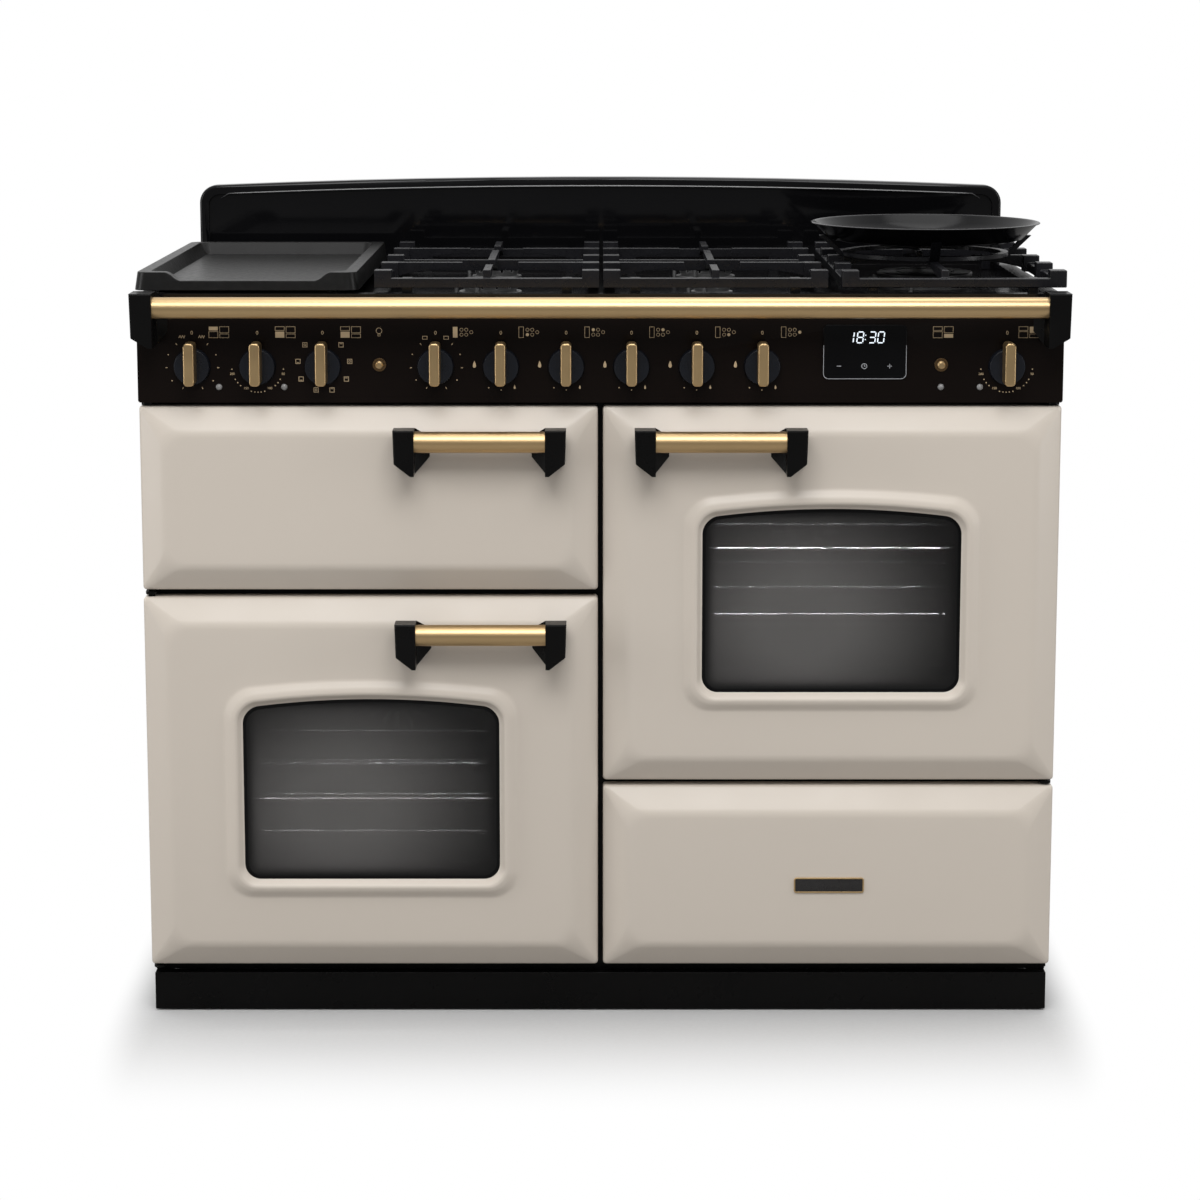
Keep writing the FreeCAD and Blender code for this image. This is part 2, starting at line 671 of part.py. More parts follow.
# ---- griddle, wok cradle and wok -----------------------------------------------------------------
def griddle():
    """Cast griddle plate: sloping walls, sunk cooking face, low front lip and a pad on the zone."""
    x0, x1 = griddle_x0, griddle_x1
    y0, y1 = griddle_front, griddle_front + griddle_length
    low, high, floor = bar_bottom - 3, support_top - 2, bar_bottom + 3
    wall, slope, corner = 17.0, 9.0, 14.0
    pad = zone_margin + 8

    def ring(inset, radius, z):
        flat = rounded_block(x0 + inset, x1 - inset, y0 + inset, y1 - inset, z, z + 1, radius, V(0, 0, 1))
        face = [f for f in flat.Faces if abs(f.BoundBox.ZMax - z) < 0.01][0]
        return face.OuterWire

    body = skin([ring(0, corner, low), ring(3, corner, high)])
    hollow = skin([ring(wall + slope, corner - 8, floor), ring(wall, corner, high + 0.01)])
    pad_gap = 0.3
    base = rounded_block(x0 + pad, x1 - pad, zone[2] + 8, zone[3] - 8, deck + zone_glass + pad_gap, low, 8,
                         V(0, 0, 1))
    dip, run = 10.0, 18.0
    xa, xb = x0 + 37, x1 - 33
    top, bottom = high + 1, high - dip
    shoulder = Part.Wire([
        line(V(xa, -20, top), V(xb, -20, top)),
        line(V(xb, -20, top), V(xb, -20, high)),
        arc(V(xb, -20, high), V(xb - run * 0.35, -20, high - dip * 0.28),
            V(xb - run / 2, -20, high - dip / 2)),
        arc(V(xb - run / 2, -20, high - dip / 2), V(xb - run * 0.65, -20, high - dip * 0.72),
            V(xb - run, -20, bottom)),
        line(V(xb - run, -20, bottom), V(xa + run, -20, bottom)),
        arc(V(xa + run, -20, bottom), V(xa + run * 0.65, -20, high - dip * 0.72),
            V(xa + run / 2, -20, high - dip / 2)),
        arc(V(xa + run / 2, -20, high - dip / 2), V(xa + run * 0.35, -20, high - dip * 0.28),
            V(xa, -20, high)),
        line(V(xa, -20, high), V(xa, -20, top)),
    ])
    lip = Part.Face(shoulder).extrude(V(0, 20 + y0 + wall + slope, 0))
    return union([body, base]).cut([hollow, lip])


wok_shoulder = (30.0, 5.0)   # out from the flat base and up, to where the straight wall starts
wok_lip = (3.0, 1.5)         # out from the wall and down from the rim


def wok():
    """Spun wok with no handle: flat base, round shoulder, straight wall and a turned lip."""
    top, low = wok_height, wok_height - wok_depth
    out, up = wok_shoulder
    wide, turn = wok_lip
    inside = 1.6                                  # lip in from the wall's inner face

    def wall(inset, lift):
        """Base, middle of the shoulder, its end, and the top of the wall, for one face of the sheet."""
        return [V(wok_flat, 0, low + lift),
                V(wok_flat + out * 0.54 - inset * 0.3, 0, low + up * 0.28 + lift),
                V(wok_flat + out - inset * 0.5, 0, low + up + lift),
                V(wok_radius - wide - inset, 0, top - turn)]

    a, b = wall(0, 0), wall(0.8, wok_wall)
    rim, lip = V(wok_radius, 0, top - turn), V(wok_radius - turn, 0, top)
    edge = V(wok_radius - wide - inside, 0, top)
    axis, axis_inside = V(0, 0, low), V(0, 0, low + wok_wall)
    wire = Part.Wire([
        line(axis, a[0]), arc(a[0], a[1], a[2]), line(a[2], a[3]), line(a[3], rim), line(rim, lip),
        line(lip, edge), line(edge, b[2]), arc(b[2], b[1], b[0]), line(b[0], axis_inside),
        line(axis_inside, axis),
    ])
    return moved(Part.Face(wire).revolve(V(0, 0, 0), V(0, 0, 1), 360), wok_x, wok_y)


def wok_wall_radius(z):
    """Radius of the wok's outer wall at a height."""
    out, up = wok_shoulder
    share = (z - wok_height + wok_depth - up) / (wok_depth - up - wok_lip[1])
    return wok_flat + out + share * (wok_radius - wok_lip[0] - wok_flat - out)


def wok_cradle():
    """Cast ring on the pan support's fingers with four arms splayed out to the wok's wall."""
    clearance = 0.3
    z0 = support_top + clearance
    z1 = z0 + cradle_base
    width, thick = 12.0, 7.0
    ring = tube(cradle_ring, cradle_ring - 9, V(wok_x, wok_y, z0), V(wok_x, wok_y, z1))
    tip = z0 + 24.5
    r_tip = wok_wall_radius(tip) + 3 * clearance
    parts = [ring]
    for i in range(4):
        outline = [V(cradle_ring - 7, 0, z0), V(cradle_ring + 3, 0, z0), V(r_tip + thick, 0, tip),
                   V(r_tip, 0, tip), V(cradle_ring, 0, z0 + cradle_base)]
        arm = prism([p - V(0, width / 2, 0) for p in outline], V(0, width, 0))
        arm.rotate(V(0, 0, 0), V(0, 0, 1), 90.0 * i)
        parts.append(moved(arm, wok_x, wok_y))
    return union(parts)


save("griddle", griddle())
save("wok_cradle", wok_cradle())
save("wok", wok())


# ---- backguard ---------------------------------------------------------------------------------
def backguard():
    """Enamelled upstand with an arched top, a rolled border and a sunk field, open at the back."""
    wide = body_width + 2
    rise, radius, border, sunk = 12.0, 24.0, 12.5, 3.0
    y0, y1 = y_back - 22, y_back
    low = tray_bottom
    tall = backguard_height - low
    outer = plate(arched_wire(0, low, wide, tall, rise, radius, y0, 0), y1 - y0)
    front = [e for e in outer.Edges if e.BoundBox.YMax < y0 + 0.01 and e.BoundBox.ZMin > low + 1]
    outer = outer.makeFillet(4.0, front)
    inside, foot = radius - 9, 6.0
    field = plate(arched_wire(0, low + foot, wide - 2 * border, tall - border - foot, rise, inside,
                              y0 - 1, 2), sunk + 1)
    hollow = plate(arched_wire(0, low - 5, wide - 2 * border, tall - border + 5, rise, inside,
                               y0 + sunk + sheet, 0), y1 - y0)
    return outer.cut([field, hollow])


save("backguard", backguard())

# ---- fascia ------------------------------------------------------------------------------------
knob_x = {
    "grill_knob": -half + oven_knobs_from_left,
    "left_oven_thermostat_knob": -half + oven_knobs_from_left + knob_pitch,
    "left_oven_function_knob": -half + oven_knobs_from_left + 2 * knob_pitch,
    "griddle_knob": -half + hob_knobs_from_left,
    "right_oven_thermostat_knob": half - right_knob_from_right,
}
for i in range(5):
    knob_x["gas_tap_knob_%d" % (i + 1)] = -half + hob_knobs_from_left + (i + 1) * knob_pitch
button_x = {
    "oven_light_button": -half + light_button_from_left,
    "proving_drawer_button": half - drawer_button_from_right,
}
clock_x = half - clock_from_right
lamps = [knob_x["grill_knob"] + lamp_offset, knob_x["left_oven_thermostat_knob"] + lamp_offset,
         button_x["proving_drawer_button"], knob_x["right_oven_thermostat_knob"] - lamp_offset]
y_fascia = -fascia_proud
clock_margin = 6.0           # tile beyond the hole behind it
tile_thickness = 1.8
bezel_proud = 1.5
button_stem = 6.0            # end of a button's stem behind the door edge plane
boss_end = 4.0               # end of a knob's boss behind the same plane
switch_gap = 0.5             # between a boss and the switch that it turns


def clock_housing(y0, y1):
    """Block the size of the clock's housing."""
    w, h = clock_size[0] / 2 - clock_margin, clock_size[1] / 2 - clock_margin
    return block(clock_x - w, clock_x + w, y0, y1, clock_height - h, clock_height + h)


def fascia():
    """Folded control panel with holes for spindles, buttons, lamps and the clock."""
    y1 = y_frame
    panel = rounded_block(-half, half, y_fascia, y1, fascia_bottom, tray_bottom, 3, V(0, 1, 0))
    panel = panel.cut(block(-half + sheet, half - sheet, y_fascia + sheet, y1 + 1,
                            fascia_bottom + sheet, tray_bottom - sheet))
    cuts = []
    for x in knob_x.values():
        cuts.append(rod(spindle_radius + running, V(x, y_fascia - 1, knob_height), V(x, 0, knob_height)))
    for x in button_x.values():
        cuts.append(rod(button_radius + button_play, V(x, y_fascia - 1, button_height),
                        V(x, 0, button_height)))
    for x in lamps:
        cuts.append(rod(lamp_radius, V(x, y_fascia - 1, lamp_height), V(x, 0, lamp_height)))
    cuts.append(clock_housing(y_fascia - 1, 0))
    return panel.cut(cuts)


def clock_module():
    """Timer with a glass tile over the fascia and its housing behind."""
    w, h = clock_size
    tile = plate(rounded_wire(clock_x - w / 2, clock_x + w / 2, clock_height - h / 2, clock_height + h / 2,
                              6, y_fascia - tile_thickness), tile_thickness)
    return union([tile, clock_housing(y_fascia, 22)])


def lamp(x):
    """Neon lamp: domed lens in front of the fascia and a body behind."""
    body = rod(lamp_radius, V(x, y_fascia, lamp_height), V(x, 14, lamp_height))
    lens = Part.makeSphere(lamp_radius + 0.8, V(x, y_fascia + 1.2, lamp_height))
    lens = lens.cut(block(x - 9, x + 9, y_fascia, 20, lamp_height - 9, lamp_height + 9))
    return union([body, lens])


def bezel(x):
    """Turned ring round a push button."""
    return tube(bezel_radius, button_radius + button_play, V(x, y_fascia - bezel_proud, button_height),
                V(x, y_fascia, button_height))


def push_button(x):
    """Domed plunger on a stem through the fascia."""
    crown = 1.5
    front = y_fascia - bezel_proud - button_travel - 0.8
    stem = rod(button_radius, V(x, front + crown, button_height), V(x, button_stem, button_height))
    dome = Part.makeCone(button_radius * 0.62, button_radius, crown, V(x, front, button_height), V(0, 1, 0))
    return union([stem, dome])


def knob(x):
    """Moulded disc with its spindle boss, and a brass bar across it."""
    y_disc, thick, taper = y_fascia - 1.0, 8.0, 1.5
    disc = Part.makeCone(knob_radius - taper, knob_radius, thick, V(x, y_disc - thick, knob_height),
                         V(0, 1, 0))
    boss = rod(spindle_radius, V(x, y_disc, knob_height), V(x, boss_end, knob_height))
    w, h, d = knob_bar
    y1 = y_disc - thick
    y0 = y1 - d
    low, high = knob_height + knob_bar_raise - h / 2, knob_height + knob_bar_raise + h / 2
    grip = plate(rounded_wire(x - w / 2, x + w / 2, low, high, 4.5, y0), d)
    edges = [e for e in grip.Edges if e.BoundBox.YMax < y0 + 0.01]
    return group([union([disc, boss]), grip.makeFillet(2.0, edges)])


def control_switches():
    """Thermostats, regulators and switch bodies behind the fascia, clear of the knobs' bosses."""
    bodies = []
    for name in ("grill_knob", "left_oven_thermostat_knob", "left_oven_function_knob", "griddle_knob",
                 "right_oven_thermostat_knob"):
        x = knob_x[name]
        bodies.append(block(x - 20, x + 20, boss_end + switch_gap, 44, knob_height - 18, knob_height + 18))
    for x in button_x.values():
        bodies.append(block(x - 9, x + 9, button_stem + button_travel + switch_gap, 34,
                            button_height - 12, button_height + 12))
    return group(bodies)


save("fascia", fascia())
save("clock_module", clock_module())
save("lamps_and_bezels", group([lamp(x) for x in lamps] + [bezel(x) for x in button_x.values()]))
for name, x in button_x.items():
    save(name, push_button(x))
for name, x in knob_x.items():
    save(name, knob(x))
save("control_switches", control_switches())


# ---- towel rail and handles --------------------------------------------------------------------
def bracket(x_outer, inward, z, y_seat, sizes):
    """Cast bracket: a five-sided foot on the panel, drawn out to an end cap that holds the tube."""
    width, top, shoulder, point, foot_width, foot_top, socket = sizes
    y_cap = y_seat - 16
    y_front = -front_projection

    def outline(pairs, y):
        return Part.makePolygon([V(x_outer + inward * u, y, z + v) for u, v in pairs + pairs[:1]])

    cap = [(0, top), (width, top), (width, -point), (width * 0.82, -point), (1.2, -shoulder)]
    foot = [(2, foot_top), (foot_width, foot_top), (foot_width, -shoulder + 3), (width * 0.95, -point),
            (1.2, -shoulder)]
    neck = skin([outline(foot, y_seat), outline(cap, y_cap)])
    end = Part.Face(outline(cap, y_cap)).extrude(V(0, y_front - y_cap, 0))
    rim = [e.BoundBox for e in end.Edges]
    bevel = [e for e, b in zip(end.Edges, rim) if b.YMax < y_front + 0.01
             and (abs(b.Center.x - x_outer) < 1 or b.XLength > 1 and b.ZMax > z + top - 0.1)]
    end = end.makeChamfer(bracket_wall - 0.6, bevel)
    socket_rod = rod(tube_radius + running, V(x_outer + inward * socket, y_tube, z),
                     V(x_outer + inward * (foot_width + 5), y_tube, z))
    return union([neck, end]).cut(socket_rod)


# width, top above and shoulder and point below the tube's centre, foot's width and top, end of the socket
handle_bracket = (24.6, 15.4, 24.0, 38.8, 41.0, 3.0, 8.0)
rail_bracket = (26.0, 17.5, 34.0, 46.0, 36.5, -3.0, 6.0)


def handle(x0, z):
    """Brass tube between two cast brackets on the raised field of a door."""
    x1 = x0 + handle_length
    socket = handle_bracket[-1]
    brass = tube(tube_radius, tube_radius - tube_wall, V(x0 + socket, y_tube, z), V(x1 - socket, y_tube, z))
    return group([brass, bracket(x0, 1, z, -press_rise, handle_bracket),
                  bracket(x1, -1, z, -press_rise, handle_bracket)])


def towel_rail():
    reach = half - rail_bracket[-1]
    return tube(tube_radius, tube_radius - tube_wall, V(-reach, y_tube, rail_height),
                V(reach, y_tube, rail_height))


save("towel_rail", towel_rail())
save("rail_brackets", group([bracket(-half, 1, rail_height, y_fascia, rail_bracket),
                             bracket(half, -1, rail_height, y_fascia, rail_bracket)]))


# ---- doors -------------------------------------------------------------------------------------
def window_wire(cx, z0, grow, y):
    """Outline of the arched window, grown evenly."""
    return arched_wire(cx, z0 + window_bottom - grow, window_width + 2 * grow, window_height + 2 * grow,
                       window_arch * (1 + grow / 150), window_radius + grow * 0.6, y)


def pressed_front(cx, z_range):
    """Pressed panel with a bevelled raised field, open at the back."""
    x0, x1 = cx - door_width / 2, cx + door_width / 2
    z0, z1 = z_range
    y_liner = door_thickness - sheet

    def outline(inset, radius, y):
        return rounded_wire(x0 + inset, x1 - inset, z0 + inset, z1 - inset, radius, y)

    edge, field, rise, wall = door_edge_radius, press_radius, press_rise, sheet
    outer = skin([outline(0, edge, y_liner), outline(0, edge, 1.5), outline(1.2, edge, 0),
                  outline(press_bevel - 3, field - 2, -rise + 1.6), outline(press_bevel + 3, field, -rise)])
    hollow = skin([outline(wall, edge - 1, y_liner + 0.01), outline(wall, edge - 1, wall),
                   outline(press_bevel - 2, field - 3, -rise + wall + 1.0),
                   outline(press_bevel + 4, field, -rise + wall)])
    return outer.cut(hollow)


def hinged(panel, side, z_range):
    """Holes in the top and bottom edges of a door for its hinge pins."""
    x = side * (half - pin_edge)
    bore = rod(pin_radius + running, V(x, pin_depth, z_range[0] - 1), V(x, pin_depth, z_range[1] + 1))
    return panel.cut(bore)


def window_bead(cx, z0):
    """Raised bead round the window, with its outer and inner slopes."""
    field, crest = -press_rise, -press_rise - bead_rise
    outer = skin([window_wire(cx, z0, bead_width, field + 1), window_wire(cx, z0, bead_width, field),
                  window_wire(cx, z0, bead_crest[0], crest)])
    inner_slope = skin([window_wire(cx, z0, bead_crest[1], crest - 0.01), window_wire(cx, z0, 0, field + 1.0),
                        window_wire(cx, z0, 0, field + sheet + 0.01)])
    return outer, inner_slope


def oven_door_front(cx, side, z_range):
    panel = hinged(pressed_front(cx, z_range), side, z_range)
    outer, slope = window_bead(cx, z_range[0])
    return union([panel, outer]).cut(slope)


liner_opening = 26.0


def liner(cx, z_range, window):
    """Inner panel of a door, with a pressed rib and, on an oven door, the window opening."""
    x0, x1 = cx - door_width / 2 + 1.5, cx + door_width / 2 - 1.5
    z0, z1 = z_range[0] + 1.5, z_range[1] - 1.5
    y0 = door_thickness - sheet
    panel = plate(rounded_wire(x0, x1, z0, z1, 3, y0), sheet)
    if window:
        reach = window_width / 2 + liner_opening
        low = z_range[0] + window_bottom - liner_opening
        high = z_range[0] + window_bottom + window_height + liner_opening
        panel = panel.cut(plate(rounded_wire(cx - reach, cx + reach, low, high, 24, y0 - 1), 2 * sheet))
    return panel


def glazing(cx, z_range):
    """Outer pane behind the bead and inner pane on the liner."""
    z0 = z_range[0]
    outer = plate(window_wire(cx, z0, 9, -press_rise + sheet), glass_thickness)
    grow = liner_opening + 12
    pane = plate(rounded_wire(cx - window_width / 2 - grow, cx + window_width / 2 + grow,
                              z0 + window_bottom - grow, z0 + window_bottom + window_height + grow,
                              10, door_thickness - sheet - glass_thickness), glass_thickness)
    return group([outer, pane])


def free_handle(cx, side, z_range):
    """Handle at the door's free edge, away from its hinge."""
    free = cx - side * (door_width / 2 - handle_edge)
    x0 = free if side > 0 else free - handle_length
    return handle(x0, z_range[1] - handle_drop)


save("grill_door_panel", hinged(pressed_front(-column, grill_z), -1, grill_z))
save("grill_door_liner", liner(-column, grill_z, False))
save("grill_door_handle", free_handle(-column, -1, grill_z))
for name, side, z_range in (("left", -1, left_oven_z), ("right", 1, right_oven_z)):
    cx = side * column
    save(name + "_oven_door_panel", oven_door_front(cx, side, z_range))
    save(name + "_oven_door_liner", liner(cx, z_range, True))
    save(name + "_oven_door_glass", glazing(cx, z_range))
    save(name + "_oven_door_handle", free_handle(cx, side, z_range))


# ---- proving drawer ----------------------------------------------------------------------------
def drawer_tray():
    """Sheet steel tray hung between two runners, fixed to the back of the drawer front."""
    y0 = door_thickness
    y1 = y_cavity + drawer_rail_length - 8
    hang = drawer_rail_spacer + drawer_rail_depth + 6
    x0, x1 = divider + hang, inner - hang
    z0, z1 = drawer_tray_z
    tray = block(x0, x1, y0, y1, z0, z1)
    tray = tray.cut(block(x0 + cavity_sheet, x1 - cavity_sheet, y0 + cavity_sheet, y1 - cavity_sheet,
                          z0 + cavity_sheet, z1 + 1))
    tall = drawer_rail_height / 2 - drawer_rail_wall - runner_clearance
    root = drawer_rail_spacer + drawer_rail_wall + runner_clearance
    runners = [block(divider + root, x0, y_cavity + 4, y1, runner_z - tall, runner_z + tall),
               block(x1, inner - root, y_cavity + 4, y1, runner_z - tall, runner_z + tall)]
    return union([tray] + runners)


save("drawer_front", group([pressed_front(column, drawer_z), liner(column, drawer_z, False)]))
save("drawer_tray", drawer_tray())


# ---- compartments ------------------------------------------------------------------------------
shaft_radius = 4.0
motor_size = (36.0, 32.0)    # radius and length
element_radius = 3.5


def cavity(limits, depth, hole):
    """Enamelled box open at the front, with a shaft hole in its back."""
    x0, x1, z0, z1 = limits
    t = cavity_sheet
    outer = rounded_block(x0 - t, x1 + t, y_cavity, y_cavity + depth + t, z0 - t, z1 + t, opening_radius,
                          V(0, 1, 0))
    room = rounded_block(x0, x1, y_cavity - 1, y_cavity + depth, z0, z1, opening_radius - t, V(0, 1, 0))
    box = outer.cut(room)
    if hole:
        cx, cz = middle(limits)
        box = box.cut(rod(hole, V(cx, y_cavity + depth - 1, cz), V(cx, y_cavity + depth + 5, cz)))
    return box


def fan_cover(limits):
    """Perforated steel plate in front of the fan."""
    x0, x1, z0, z1 = limits
    cx, cz = middle(limits)
    y0 = y_cavity + cavity_depth - baffle_space
    gap = 6.0
    panel = rounded_block(x0 + gap, x1 - gap, y0, y0 + cavity_sheet, z0 + gap, z1 - gap, 8, V(0, 1, 0))
    cuts = []
    slots = 12
    for i in range(slots):
        slot = block(cx + 14, cx + 44, y0 - 1, y0 + 4, cz - 3, cz + 3)
        slot.rotate(V(cx, 0, cz), V(0, 1, 0), 360.0 / slots * i)
        cuts.append(slot)
    edge, pitch, wide, tall = 30.0, 60.0, 10.0, 44.0
    for x in (x0 + edge, x1 - edge):
        for z in (cz - pitch, cz, cz + pitch):
            cuts.append(block(x - wide / 2, x + wide / 2, y0 - 1, y0 + 4, z - tall / 2, z + tall / 2))
    reach = 120.0
    standoffs = [rod(4, V(x, y0 + cavity_sheet, z), V(x, y_cavity + cavity_depth, z))
                 for x in (cx - reach, cx + reach) for z in (cz - reach, cz + reach)]
    return union([panel.cut(cuts)] + standoffs)


def fan(limits):
    """Steel impeller with flat radial blades on a back disc."""
    cx, cz = middle(limits)
    y1 = y_cavity + cavity_depth - 8
    y0 = y1 - 20
    disc = rod(fan_radius, V(cx, y1 - 1.5, cz), V(cx, y1, cz))
    hub = rod(10, V(cx, y0, cz), V(cx, y1, cz))
    blades = []
    count, thick = 12, 1.6
    for i in range(count):
        blade = block(cx + 26, cx + fan_radius - 1, y0, y1, cz - thick / 2, cz + thick / 2)
        blade.rotate(V(cx, 0, cz), V(0, 1, 0), 360.0 / count * i)
        blades.append(blade)
    return union([disc, hub] + blades).cut(rod(shaft_radius + running, V(cx, y0 + 5, cz), V(cx, y1 + 1, cz)))


def fan_motor(limits):
    """Motor behind the cavity with its shaft through to the fan."""
    cx, cz = middle(limits)
    back = y_cavity + cavity_depth + cavity_sheet
    case = rod(motor_size[0], V(cx, back, cz), V(cx, back + motor_size[1], cz))
    shaft = rod(shaft_radius, V(cx, y_cavity + cavity_depth - 22, cz), V(cx, back, cz))
    return union([case, shaft])


def ring_element(limits):
    """Round heating element about the fan, with two legs back to the cavity wall."""
    cx, cz = middle(limits)
    y = y_cavity + cavity_depth - 20
    ring = Part.makeTorus(fan_radius + 20, element_radius, V(cx, y, cz), V(0, 1, 0))
    z = cz + fan_radius + 18
    legs = [rod(element_radius - 0.1, V(x, y, z), V(x, y_cavity + cavity_depth, z))
            for x in (cx - 15, cx + 15)]
    return union([ring] + legs)


def grill_element():
    """Two-loop tubular element under the grill chamber's roof."""
    x0, x1, z0, z1 = grill_box
    z = z1 - 22
    cx = (x0 + x1) / 2
    y_end = y_cavity + 360
    y0 = y_cavity + 50
    loops = []
    for wide in (150.0, 80.0):
        front = y0 + (150.0 - wide) * 0.6
        path = [V(cx - wide, y_end, z), V(cx - wide, front, z),
                V(cx + wide, front, z), V(cx + wide, y_end, z)]
        loops.append(bent_tube(path, element_radius, 30))
    return loops


def zone_element():
    """Radiant element dish under the glass-ceramic plate."""
    x, y = (zone[0] + zone[1]) / 2, (zone[2] + zone[3]) / 2
    wide, long, deep = zone[1] - zone[0] - 35, zone[3] - zone[2] - 104, 20.0
    return rounded_block(x - wide / 2, x + wide / 2, y - long / 2, y + long / 2, deck - deep, deck, 30,
                         V(0, 0, 1))


def drawer_element():
    """Flat warming element over the base pan, under the drawer."""
    z, reach, y0, y1 = casing_bottom + 5, 90.0, 120.0, 380.0
    path = [V(column - reach, y1, z), V(column - reach, y0, z),
            V(column + reach, y0, z), V(column + reach, y1, z)]
    return bent_tube(path, element_radius, 25)


shelf_front, shelf_back = y_cavity + 24, y_cavity + cavity_depth - baffle_space - 24


def rung_height(limits, rung):
    return limits[2] + rung_first + rung * rung_pitch


def wire_shelf(limits, rung):
    """Chromed shelf on the rungs: three cross rods and wires from front to back welded on top."""
    x0, x1 = limits[0] + 3, limits[1] - 3
    z = rung_height(limits, rung) + ladder_wire + shelf_wire
    parts = [bar(shelf_wire, V(x0, y, z), V(x1, y, z))
             for y in (shelf_front, (shelf_front + shelf_back) / 2, shelf_back)]
    sections = 8
    for i in range(sections + 1):
        x = x0 + 12 + (x1 - x0 - 24) * i / sections
        z_wire = z + shelf_wire + cross_wire - 0.6
        parts.append(bar(cross_wire, V(x, shelf_front - 3, z_wire), V(x, shelf_back + 3, z_wire), 6))
    return union(parts)


def side_ladder(limits, inward):
    """Wire ladder on a cavity wall, whose rungs carry the shelves."""
    wall = limits[0] if inward > 0 else limits[1]
    r = ladder_wire
    x = wall + inward * r
    parts = [bar(r, V(x, y, limits[2] + 14), V(x, y, limits[3] - 14), 6)
             for y in (shelf_front + 40, shelf_back - 40)]
    for rung in range(rung_count):
        z = rung_height(limits, rung)
        xr = x + inward * 2.4
        parts.append(bar(r, V(xr, shelf_front - 8, z), V(xr, shelf_back + 8, z)))
    return union(parts)


def door_seal(limits):
    """Heat-resistant rope seal on the front frame round an oven opening."""
    x0, x1, z0, z1 = limits
    y0, y1 = door_thickness + 0.3, y_frame
    outer = plate(rounded_wire(x0 - 14, x1 + 14, z0 - 14, z1 + 14, opening_radius + 14, y0), y1 - y0)
    hole = plate(rounded_wire(x0 - 6, x1 + 6, z0 - 6, z1 + 6, opening_radius + 6, y0 - 1), y1 - y0 + 2)
    return outer.cut(hole)


def grill_pan():
    """Enamelled pan on two runners, on the grill chamber's floor."""
    x0, x1, z0, _ = grill_box
    side, wall, deep, corner, lift, runner = 14.0, 2.0, 42.0, 20.0, 10.0, 8.0
    a, b = x0 + side, x1 - side
    ya, yb = y_cavity + 20, y_cavity + 330
    z = z0 + lift
    outer = rounded_block(a, b, ya, yb, z, z + deep, corner, V(0, 0, 1))
    room = rounded_block(a + wall, b - wall, ya + wall, yb - wall, z + wall, z + deep + 1, corner - wall,
                         V(0, 0, 1))
    runners = [block(x, x + runner, ya + 20, yb - 20, z0, z) for x in (a + 30, b - 30 - runner)]
    return union([outer.cut(room)] + runners)


def grill_rack():
    """Wire rack standing in the grill pan."""
    x0, x1, z0, _ = grill_box
    a, b = x0 + 30, x1 - 30
    ya, yb = y_cavity + 36, y_cavity + 314
    pan_floor, z, inset, wires = z0 + 12, z0 + 34, 4.0, 9
    top = z + shelf_wire + cross_wire - 0.6
    parts = [bar(shelf_wire, V(a, y, z), V(b, y, z)) for y in (ya + inset, yb - inset)]
    for i in range(wires):
        x = a + inset + (b - a - 2 * inset) * i / (wires - 1)
        parts.append(bar(cross_wire, V(x, ya, top), V(x, yb, top), 6))
    for x in (a + inset, b - inset):
        for y in (ya + inset, yb - inset):
            parts.append(bar(shelf_wire, V(x, y, pan_floor), V(x, y, z)))
    return union(parts)


grill_depth = 400.0
save("grill_chamber", cavity(grill_box, grill_depth, 0))
save("oven_cavities", group([cavity(left_oven, cavity_depth, 6), cavity(right_oven, cavity_depth, 6)]))
save("fan_covers", group([fan_cover(left_oven), fan_cover(right_oven)]))
save("left_oven_fan", fan(left_oven))
save("right_oven_fan", fan(right_oven))
save("fan_motors", group([fan_motor(left_oven), fan_motor(right_oven)]))
save("heating_elements", group(grill_element() + [ring_element(left_oven), ring_element(right_oven),
                                                 zone_element(), drawer_element()]))
racks = [grill_rack()]
for name, limits in (("left", left_oven), ("right", right_oven)):
    racks += [wire_shelf(limits, rung) for rung in shelf_rungs[name]]
    racks += [side_ladder(limits, 1), side_ladder(limits, -1)]
save("wire_racks", group(racks))
save("door_seals", group([door_seal(left_oven), door_seal(right_oven)]))
save("grill_pan", grill_pan())


# ---- gas and mains -----------------------------------------------------------------------------
def gas_pipework():
    """Manifold with five taps behind the fascia, and the pipe to it from the inlet at the back."""
    y_pipe, z_pipe = 56.0, knob_height
    manifold_radius, tap_radius, pipe_radius, bend = 8.0, 13.0, 7.0, 18.0
    taps = [knob_x["gas_tap_knob_%d" % (i + 1)] for i in range(5)]
    left, right = taps[0] - 20, taps[-1] + 60
    y_drop, y_fitting, y_end = y_back - 60, y_back - 30, y_back
    parts = [rod(manifold_radius, V(left, y_pipe, z_pipe), V(right, y_pipe, z_pipe))]
    for x in taps:
        parts.append(rod(tap_radius, V(x, boss_end + switch_gap, z_pipe), V(x, y_pipe, z_pipe)))
    run = [V(right, y_pipe, z_pipe), V(inlet_x, y_pipe, z_pipe), V(inlet_x, y_drop, z_pipe),
           V(inlet_x, y_drop, inlet_z), V(inlet_x, y_end - inlet_thread - 1, inlet_z)]
    parts.append(bent_tube(run, pipe_radius, bend))
    fitting = rod(inlet_radius, V(inlet_x, y_fitting, inlet_z), V(inlet_x, y_end, inlet_z))
    thread = rod(inlet_bore, V(inlet_x, y_end - inlet_thread, inlet_z), V(inlet_x, y_end + 1, inlet_z))
    return union(parts + [fitting.cut(thread)])


